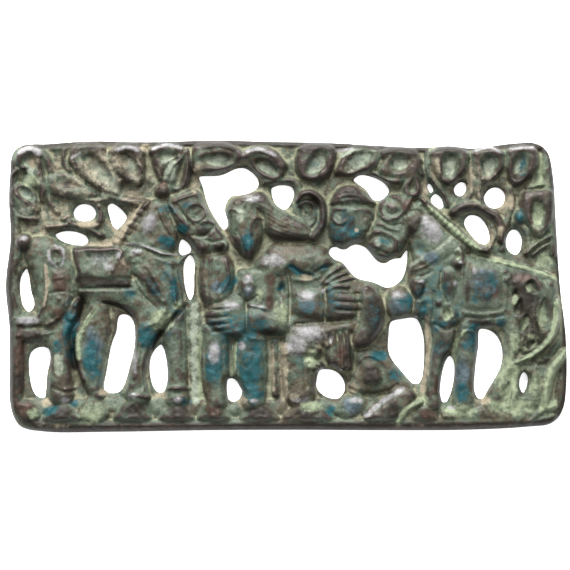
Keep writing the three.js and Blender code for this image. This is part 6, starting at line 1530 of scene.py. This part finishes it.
        Line(((46.8, 33.6), (50, 34.4), (53, 33)), 1.4), Line(((55.4, 34), (61, 34.4)), 1.4),
        Oval(-65.8, 11.8, 2, 1.4), Line(((-59.6, 8.8), (-59.2, 6.2), (-57.6, 4.8)), 1.6),
        Line(((-58, 10), (-56.2, 9), (-55.6, 7), (-56.4, 5)), 1.3), Oval(-44.6, 4.6, 2.6, 1.8),
        Oval(-42.2, 7.4, 1.4, 1.4), Oval(-34.4, 15.6, 3, 5, -22), Oval(-64.6, -8.8, 5.4, 1.8),
        Oval(-37.8, 8.4, 2.6, 1.4), Line(((-40, 10.3), (-35, 9.6), (-31, 8), (-27.6, 7.8)), 0.9),
        Oval(-38, -19, 1.2, 6), Oval(-38.6, -27.4, 2.4, 1.2), Oval(-27.5, -28.6, 2, 1.4),
        Oval(-55.4, -28.6, 2, 1.4), Oval(-3.6, 6.2, 5, 2.8), Oval(-14, -5, 4, 2.2), Oval(-10, 1.6, 2.6, 2),
        Oval(-8, -5.2, 3, 0.9), Oval(4.6, -2.6, 4, 2.4), Oval(5.4, -11.8, 7.2, 4, -6),
        Oval(2, -14.6, 4.6, 4.6, 30), Oval(-18.4, -16.6, 2.6, 5), Oval(-11.4, -15, 1.8, 1.8),
        Oval(10.6, -13, 1, 2.4), Oval(8.8, -1.4, 1, 1.2), Oval(-8.6, 21.6, 4.4, 1.8),
        Oval(35.2, 13.8, 3.4, 5.2, 30), Oval(33, 1, 1.4, 1), Oval(41.7, 0.4, 1.1, 1.4),
        Oval(42.8, 5.8, 1, 0.8), Oval(27.6, -2.4, 3, 1.8), Oval(46.4, 3.6, 1.2, 1.2),
        Line(((19.4, -32.4), (23.6, -28.8), (28.6, -25.6)), 2.2), Oval(17, -28.6, 3, 1.4),
        Oval(3, -28.4, 4.4, 1.2), Oval(-8.4, -28.6, 2, 1), Oval(40.8, -30.4, 2, 0.8),
    ),
}

WASHES: dict[Tint, tuple[tuple[float, Mark], ...]] = {
    Tint.TEAL: (
        (0.5, Oval(-12, -14, 15, 19)), (0.32, Oval(8, -4, 20, 15)), (0.34, Oval(12, 15, 17, 10)),
        (0.42, Oval(37, -6, 13, 22)), (0.36, Oval(-30, -4, 10, 22)), (0.28, Oval(21.4, -7, 4.6, 10)),
        (1.0, Oval(-9.2, -20.6, 5.4, 9)), (1.0, Oval(-18.2, -21, 4, 6)), (1.0, Oval(-48.8, -19, 3.6, 8, 6)),
        (0.7, Oval(-54, -11, 3.6, 12)), (0.18, Oval(-18.6, 31.2, 4.6, 2.4)),
        (0.42, Oval(6.6, 30.6, 3.4, 3.4)), (0.3, Oval(17.2, 30.8, 4.6, 3, 30)),
        (0.4, Oval(33, 9.6, 3.6, 3.6, 30)), (0.4, Oval(3, -20, 4, 6)), (0.36, Oval(24, 11, 3.4, 3)),
        (0.4, Oval(15, 14.6, 4, 4)), (0.4, Oval(48, -2, 6, 6)), (0.35, Oval(-18.2, 3.6, 3, 4)),
        (0.34, Oval(-65, 22.8, 2.6, 1.8)),
    ),
    Tint.EARTH: (
        (0.42, Oval(-46, 27, 28, 14)), (0.5, Oval(-60, 18, 11, 9)), (0.42, Oval(46, 25, 12, 10)),
        (0.62, Oval(-40.8, 5.2, 2.4, 3)), (0.45, Oval(-58, -35, 7, 1.6)), (0.3, Oval(30, -35, 9, 1.6)),
        (0.3, Oval(58, -34.6, 8, 1.6)),
    ),
    Tint.HAZE: (
        (0.36, Oval(-44, 27, 25, 10)), (0.3, Oval(46, 25, 15, 11)), (0.8, Oval(-58.4, 18.2, 3, 3)),
        (0.6, Oval(22.4, 10.4, 1.8, 1.8)), (0.7, Oval(12.8, 17, 1.8, 1.8)),
        # The full wash at (-69, 0.5) is a painted highlight on the rounded left rim.
        (0.5, Oval(-9.7, -1.2, 1.6, 2.4)), (1.0, Oval(-69, 0.5, 2.6, 4.6)), (0.7, Oval(39.4, -7, 2, 2.6)),
        (1.0, Oval(-29.2, 27.2, 2.8, 2.6)),
    ),
    Tint.RUST: (
        (0.45, Oval(-66, -28, 8, 10)), (0.35, Oval(-67, -10, 4, 11)), (0.55, Oval(-30, -36, 42, 3)),
        (0.5, Oval(36, -35.6, 34, 3)),
    ),
    # Broad dark patches: partly the dark saddle cloth, partly painted shade on the faces and the back.
    Tint.DARK: (
        (0.95, Oval(49, -0.6, 7, 7.6)), (0.6, Oval(14, 14.6, 6, 4.6)), (0.8, Oval(38, -15, 3, 7)),
        (0.6, Oval(-24, 20, 5, 4)), (0.5, Oval(6, 8.6, 4, 1.8)), (0.5, Oval(-48.6, 30, 2.6, 2.6)),
    ),
    Tint.SLATE: ((0.55, Oval(49, 1, 6.6, 6.4)),),
    Tint.GREEN: (
        (1.0, Oval(-31.4, -8.6, 5, 4.4)), (1.0, Oval(54.4, -25, 4, 7)), (0.36, Oval(60, -18, 13, 19)),
        (0.36, Oval(62, 10, 8, 12)),
    ),
    # Painted highlights on the left saddle, the knot and the right horse's neck.
    Tint.SHEEN: (
        (0.6, Oval(-46.6, 6.4, 5.6, 2.8)), (0.6, Oval(-9.7, -0.6, 1.6, 2.2)),
        (1.0, Oval(35.4, 14, 4.2, 6.2, 30)),
    ),
}


@dataclass(frozen=True)
class Exposure:
    """How wear or dust follows from the shape of the surface.

    Args:
        level: its share on an even surface.
        proud: what each millimetre adds that a place stands proud of what lies round it, near to far.
        edge: what the edge of the metal adds.
    """

    level: float
    proud: tuple[float, float, float]
    edge: float

    def share(self, proud: list[np.ndarray], edge: np.ndarray) -> np.ndarray:
        """Its share at each place."""
        return self.level + sum(w * p for w, p in zip(self.proud, proud)) + self.edge * edge


REACHES = (0.45, 1.1, 2.6)  # how far round a place it is compared with, near to far
RUBBED_EDGE = 0.9  # how far in from an edge it counts
WORN = Exposure(0.26, (0.9, 0.5, 0.14), 0.3)
HOLLOW = Exposure(0.17, (-0.7, -0.4, -0.1), -0.5)
PAINTED_HIGHLIGHT_RISE = 0.6  # over the edge's height, over which the painted highlight fades in, so that it stays off the walls


class Wire:
    """A socket that gives a number, with the arithmetic of an expression."""

    def __init__(self, nodes: "Nodes", socket: bpy.types.NodeSocket) -> None:
        """Keeps the socket and the nodes that it belongs to."""
        self.nodes = nodes
        self.socket = socket

    def __add__(self, other: "Wire | float") -> "Wire":
        """The sum."""
        return self.nodes.math("ADD", self, other)

    def __radd__(self, other: float) -> "Wire":
        """The sum, with a number first."""
        return self.nodes.math("ADD", other, self)

    def __sub__(self, other: "Wire | float") -> "Wire":
        """The difference."""
        return self.nodes.math("SUBTRACT", self, other)

    def __rsub__(self, other: float) -> "Wire":
        """The difference, with a number first."""
        return self.nodes.math("SUBTRACT", other, self)

    def __mul__(self, other: "Wire | float") -> "Wire":
        """The product."""
        return self.nodes.math("MULTIPLY", self, other)

    def __rmul__(self, other: float) -> "Wire":
        """The product, with a number first."""
        return self.nodes.math("MULTIPLY", other, self)

    def step(self, low: float, high: float) -> "Wire":
        """A smooth step from 0 at low to 1 at high."""
        inputs = {"Value": self, "From Min": low, "From Max": high}
        return self.nodes.add("ShaderNodeMapRange", {"interpolation_type": "SMOOTHSTEP"}, inputs)


@dataclass(frozen=True)
class Noise:
    """A noise, with the size of its features in millimetres."""

    size: float
    detail: float
    rough: float


class Nodes:
    """The nodes of one material."""

    def __init__(self, name: str) -> None:
        """Starts a material with only its shader and its output.

        Args:
            name: the material's name.
        """
        self.material = bpy.data.materials.new(name)
        self.material.use_nodes = True
        self.tree = self.material.node_tree
        self.shader = self.tree.nodes["Principled BSDF"]

    def add(self, kind: str, settings: dict[str, object], inputs: dict[str | int, object],
            out: str | int = 0) -> Wire:
        """Adds a node.

        Args:
            kind: its type.
            settings: its own settings, set first.
            inputs: a value or a wire for each socket.
            out: the socket that is given back.

        Returns:
            The wire from that socket.
        """
        node = self.tree.nodes.new(kind)
        for key, value in settings.items():
            setattr(node, key, value)
        for key, value in inputs.items():
            self.feed(node.inputs[key], value)
        return Wire(self, node.outputs[out])

    def feed(self, socket: bpy.types.NodeSocket, value: object) -> None:
        """Links a wire to a socket, or sets the socket's value.

        Args:
            socket: the socket.
            value: a wire, a number, or a colour.
        """
        if isinstance(value, Wire):
            self.tree.links.new(value.socket, socket)
        elif isinstance(value, tuple):
            socket.default_value = (*value, 1.0)
        else:
            socket.default_value = value

    def math(self, operation: str, a: Wire | float, b: Wire | float) -> Wire:
        """A Math node on two values."""
        return self.add("ShaderNodeMath", {"operation": operation}, {0: a, 1: b})

    def blend(self, share: Wire, a: Wire | Colour, b: Wire | Colour) -> Wire:
        """A colour between two, a where the share is 0 and b where it is 1."""
        return self.add("ShaderNodeMix", {"data_type": "RGBA"}, {0: share, 6: a, 7: b}, 2)

    def attribute(self, name: str) -> Wire:
        """A field kept on the mesh."""
        return self.add("ShaderNodeAttribute", {"attribute_name": name}, {}, "Fac")

    def noise(self, noise: Noise) -> Wire:
        """A noise over the object.

        Args:
            noise: its size, detail and roughness.

        Returns:
            Its wire, from 0 to 1.
        """
        place = self.add("ShaderNodeTexCoord", {}, {}, "Object")
        inputs = {"Vector": place, "Scale": 1.0 / (noise.size * MM), "Detail": noise.detail,
                  "Roughness": noise.rough}
        return self.add("ShaderNodeTexNoise", {}, inputs)


@dataclass(frozen=True)
class Finish:
    """One finish: its two shades, how rough it is, how much bare metal shows and how ragged its edge is."""

    dark: Colour
    light: Colour
    rough: float
    metal: float = 0.0
    ragged: float = 1.6


@dataclass(frozen=True)
class OldBronze:
    """Bronze with a dark polish on what stands proud, a grey-green patina, and coloured patches, among them
    painted highlights and painted shade.
    """

    patina: Finish = Finish((0.007, 0.011, 0.008), (0.070, 0.086, 0.060), 0.55)
    stain: Finish = Finish((0.008, 0.007, 0.005), (0.056, 0.048, 0.031), 0.55)
    dust: Finish = Finish((0.024, 0.026, 0.016), (0.148, 0.147, 0.098), 0.8)
    polish: Finish = Finish((0.007, 0.005, 0.004), (0.040, 0.032, 0.027), 0.4, 0.15)
    tints: tuple[tuple[Tint, Finish], ...] = (
        (Tint.HAZE, Finish((0.033, 0.041, 0.031), (0.158, 0.175, 0.134), 0.75)),
        # Dark polish, and painted shade where it lies in gaps and under forms.
        (Tint.DARK, Finish((0.004, 0.003, 0.002), (0.014, 0.0115, 0.008), 0.55)),
        (Tint.RUST, Finish((0.009, 0.006, 0.004), (0.038, 0.023, 0.016), 0.5)),
        (Tint.SLATE, Finish((0.006, 0.011, 0.013), (0.052, 0.071, 0.078), 0.5)),
        (Tint.TEAL, Finish((0.001, 0.008, 0.010), (0.007, 0.042, 0.047), 0.5, 0.0, 2.3)),
        (Tint.GREEN, Finish((0.031, 0.041, 0.026), (0.146, 0.166, 0.106), 0.8)),
        (Tint.EARTH, Finish((0.038, 0.033, 0.023), (0.176, 0.154, 0.110), 0.85)),
        # A painted highlight, pale lilac-grey and smooth-edged.
        (Tint.SHEEN, Finish((0.036, 0.035, 0.036), (0.160, 0.157, 0.156), 0.45, 0.0, 1.0)),
    )
    speck: Noise = Noise(0.5, 2.0, 0.6)
    grain: Noise = Noise(1.3, 4.0, 0.65)
    smear: Noise = Noise(2.1, 3.0, 0.6)
    blotch: Noise = Noise(3.2, 4.0, 0.6)
    cloud: Noise = Noise(9.0, 2.0, 0.5)
    patch: float = 1.25  # how strongly a patch is laid before its edge is made ragged
    pitting: float = 0.85  # strength of the small unevenness
    pit: float = 0.25  # its depth
    specular: float = 0.12

    def layers(self, nodes: Nodes, grain: Wire, blotch: Wire) -> list[tuple[Finish, Wire]]:
        """The finishes over the patina, from the lowest up.

        Args:
            nodes: the material's nodes.
            grain: the fine noise that breaks up their edges.
            blotch: the coarse noise that does the same.

        Returns:
            Each finish with its share.
        """
        coarse, fine = blotch - 0.5, grain - 0.5
        stained = nodes.noise(self.cloud) * 0.5 + nodes.noise(self.smear) * 0.5
        gathered = nodes.attribute("hollow") + coarse + fine * 0.6
        worn = nodes.attribute("worn") + coarse * 0.6 + fine * 0.5
        laid = [(self.stain, stained.step(0.47, 0.58)), (self.dust, gathered.step(0.42, 0.8)),
                (self.polish, worn.step(0.46, 0.74))]
        for tint, finish in self.tints:
            patch = nodes.attribute(tint.value)
            share = patch * self.patch + (coarse + fine) * finish.ragged
            laid.append((finish, share.step(0.15, 1.15) * patch.step(0.0, 0.4)))
        return laid

    def material(self) -> bpy.types.Material:
        """The material.

        Returns:
            It, with its fields read from the mesh.
        """
        nodes = Nodes("old_bronze")
        speck, grain, blotch = (nodes.noise(kind) for kind in (self.speck, self.grain, self.blotch))
        mottle = (grain * 0.5 + speck * 0.2 + blotch * 0.3).step(0.22, 0.82)
        colour = nodes.blend(mottle, self.patina.dark, self.patina.light)
        rough: Wire | float = self.patina.rough
        metal: Wire | float = self.patina.metal
        for finish, share in self.layers(nodes, grain, blotch):
            colour = nodes.blend(share, colour, nodes.blend(mottle, finish.dark, finish.light))
            rough = rough + (finish.rough - rough) * share
            metal = metal + (finish.metal - metal) * share
        uneven = {"Height": grain * 0.6 + speck * 0.4, "Strength": self.pitting, "Distance": self.pit * MM}
        bump = nodes.add("ShaderNodeBump", {}, uneven, "Normal")
        nodes.shader.inputs["Specular IOR Level"].default_value = self.specular
        looks = {"Base Color": colour, "Roughness": rough, "Metallic": metal, "Normal": bump}
        for key, value in looks.items():
            nodes.feed(nodes.shader.inputs[key], value)
        return nodes.material


@dataclass(frozen=True)
class Lamp:
    """A square soft light that faces the plaque, in metres and watts."""

    name: str
    place: tuple[float, float, float]
    size: float
    power: float

    def hang(self) -> None:
        """Sets it in the scene."""
        lamp = bpy.data.lights.new(self.name, "AREA")
        lamp.shape, lamp.size, lamp.energy = "SQUARE", self.size, self.power
        made = bpy.data.objects.new(self.name, lamp)
        bpy.context.scene.collection.objects.link(made)
        made.location = self.place
        made.rotation_euler = (-Vector(self.place)).to_track_quat("-Z", "Y").to_euler()


@dataclass(frozen=True)
class Stage:
    """The pale floor, the studio light and the camera."""

    frame_width: float = 142.5
    centre: Point = (-0.75, 0.125)  # of the frame, in the drawing's millimetres
    lens: float = 150.0
    sensor: float = 36.0
    floor_side: float = 3.0  # in metres
    gap: float = 0.2  # between the floor and the plaque
    pale: float = 0.9
    glow: float = 0.55  # keeps the floor pale
    sky: float = 0.76
    lamps: tuple[Lamp, ...] = (
        Lamp("key", (-0.10, 0.66, 0.46), 0.6, 46.0), Lamp("fill", (0.4, -0.2, 0.9), 0.8, 4.0),
    )

    def floor(self) -> None:
        """The floor under the plaque."""
        bpy.ops.mesh.primitive_plane_add(size=self.floor_side, location=(0.0, 0.0, -self.gap * MM))
        floor = bpy.context.object
        floor.name = "floor"
        nodes = Nodes("pale_floor")
        looks = {"Base Color": (self.pale,) * 3, "Roughness": self.pale, "Emission Color": (1.0, 1.0, 1.0),
                 "Emission Strength": self.glow}
        for key, value in looks.items():
            nodes.feed(nodes.shader.inputs[key], value)
        floor.data.materials.append(nodes.material)

    def camera(self) -> None:
        """The camera straight above, with the photograph's frame."""
        lens = bpy.data.cameras.new("camera")
        lens.lens, lens.sensor_width = self.lens, self.sensor
        camera = bpy.data.objects.new("camera", lens)
        bpy.context.scene.collection.objects.link(camera)
        x, y = (c - m for c, m in zip(self.centre, DRAWING_MIDDLE))
        distance = self.lens / self.sensor * self.frame_width
        camera.location = (x * MM, y * MM, (EDGE + distance) * MM)
        bpy.context.scene.camera = camera

    def build(self) -> None:
        """Sets up the floor, the lights and the camera."""
        self.floor()
        for lamp in self.lamps:
            lamp.hang()
        self.camera()
        world = bpy.data.worlds.new("studio")
        world.use_nodes = True
        world.node_tree.nodes["Background"].inputs["Color"].default_value = (1.0, 1.0, 1.0, 1.0)
        world.node_tree.nodes["Background"].inputs["Strength"].default_value = self.sky
        bpy.context.scene.world = world
        bpy.context.scene.view_settings.view_transform = "Standard"


def worked_relief(outline: Outline) -> tuple[Relief, np.ndarray]:
    """The whole drawing on one field.

    Args:
        outline: the edges of the metal.

    Returns:
        The field, and how far inside the metal each of its places lies.
    """
    low, high = outline.loops[0].min(0) - MARGIN, outline.loops[0].max(0) + MARGIN
    relief = Relief(tuple(low), tuple(high), GRID)
    depth = outline.depth(relief)
    for part in (Rim, Canopy, LeftHorse, RightHorse, Wrestlers, Ground):
        part(relief).carve()
        log.info("carved %s", part.__name__)
    relief.soften(SOFTENED)
    for size, height in LUMPS:
        relief.roughen(size, height)
    relief.drawn = relief.z.copy()
    cap = bulge(np.clip(depth / EDGE_ROUND, 0.0, 1.0)) + LEAST_CAP
    relief.z = EDGE + (relief.z - EDGE) * np.minimum(cap, 1.0)
    return relief, depth


def dress(plaque: bpy.types.Object, relief: Relief, depth: np.ndarray) -> None:
    """Keeps on the mesh where the metal is worn, where dust gathers, and where the patches lie, the painted
    highlights and painted shade among them.

    Args:
        plaque: the mesh.
        relief: its field of heights.
        depth: how far inside the metal each place of the field lies.
    """
    metal = (depth > 0).astype(float)
    proud = []
    for reach in REACHES:
        weight = np.maximum(blurred(metal, reach / relief.step), 1e-3)
        proud.append(relief.drawn - blurred(relief.drawn * metal, reach / relief.step) / weight)
    edge = np.clip(1.0 - depth / RUBBED_EDGE, 0.0, 1.0)
    patches = Patches(relief)
    patches.paint()
    fields = {"worn": WORN.share(proud, edge), "hollow": HOLLOW.share(proud, edge)}
    fields |= {tint.value: share for tint, share in patches.fields.items()}
    x, y, z = (places_of(plaque.data) / MM + (*DRAWING_MIDDLE, 0.0)).T
    for name, values in fields.items():
        share = relief.read(np.clip(values, 0.0, 1.0), x, y)
        # The painted highlight is kept off the walls below the edge's height.
        if name == Tint.SHEEN.value:
            share = share * np.clip((z - EDGE) / PAINTED_HIGHLIGHT_RISE, 0.0, 1.0)
        kept = plaque.data.attributes.new(name, "FLOAT", "POINT")
        kept.data.foreach_set("value", share.astype(np.float32))


def keep_inside(made: bpy.types.Object, low: Vector, high: Vector) -> None:
    """Presses what stands out of a box by a few microns back onto it.

    Args:
        made: the object, whose own place is the origin.
        low: the lower corner of the box.
        high: the upper corner of the box.
    """
    places = np.clip(places_of(made.data), low, high)
    made.data.vertices.foreach_set("co", places.astype(np.float32).ravel())
    made.data.update()


def main() -> None:
    """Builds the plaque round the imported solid, and sets it on the floor."""
    logging.basicConfig(level=logging.INFO, format="%(message)s")
    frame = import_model()
    outline = Outline()
    outline.read(frame["nodes"]["plaque"])
    relief, depth = worked_relief(outline)
    low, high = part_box("plaque")
    crest = high.z / MM - CREST
    over = np.maximum(relief.z - crest, 0.0)
    relief.z = np.minimum(relief.z, crest) + CREST * np.tanh(over / CREST)
    shallow = np.clip(1.0 - depth / BACK_ROUND, 0.0, 1.0)
    back = BACK_ROUND * (1.0 - np.sqrt(1.0 - shallow**2))
    plaque = Casting(relief, depth, back).piece("cast_plaque", DRAWING_MIDDLE)
    keep_inside(plaque, low, high)
    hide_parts("plaque")
    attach(plaque, "root")
    dress(plaque, relief, depth)
    plaque.data.materials.append(OldBronze().material())
    log.info("cast_plaque: %d triangles", len(plaque.data.polygons))
    Stage().build()


if __name__ == "__main__":
    main()
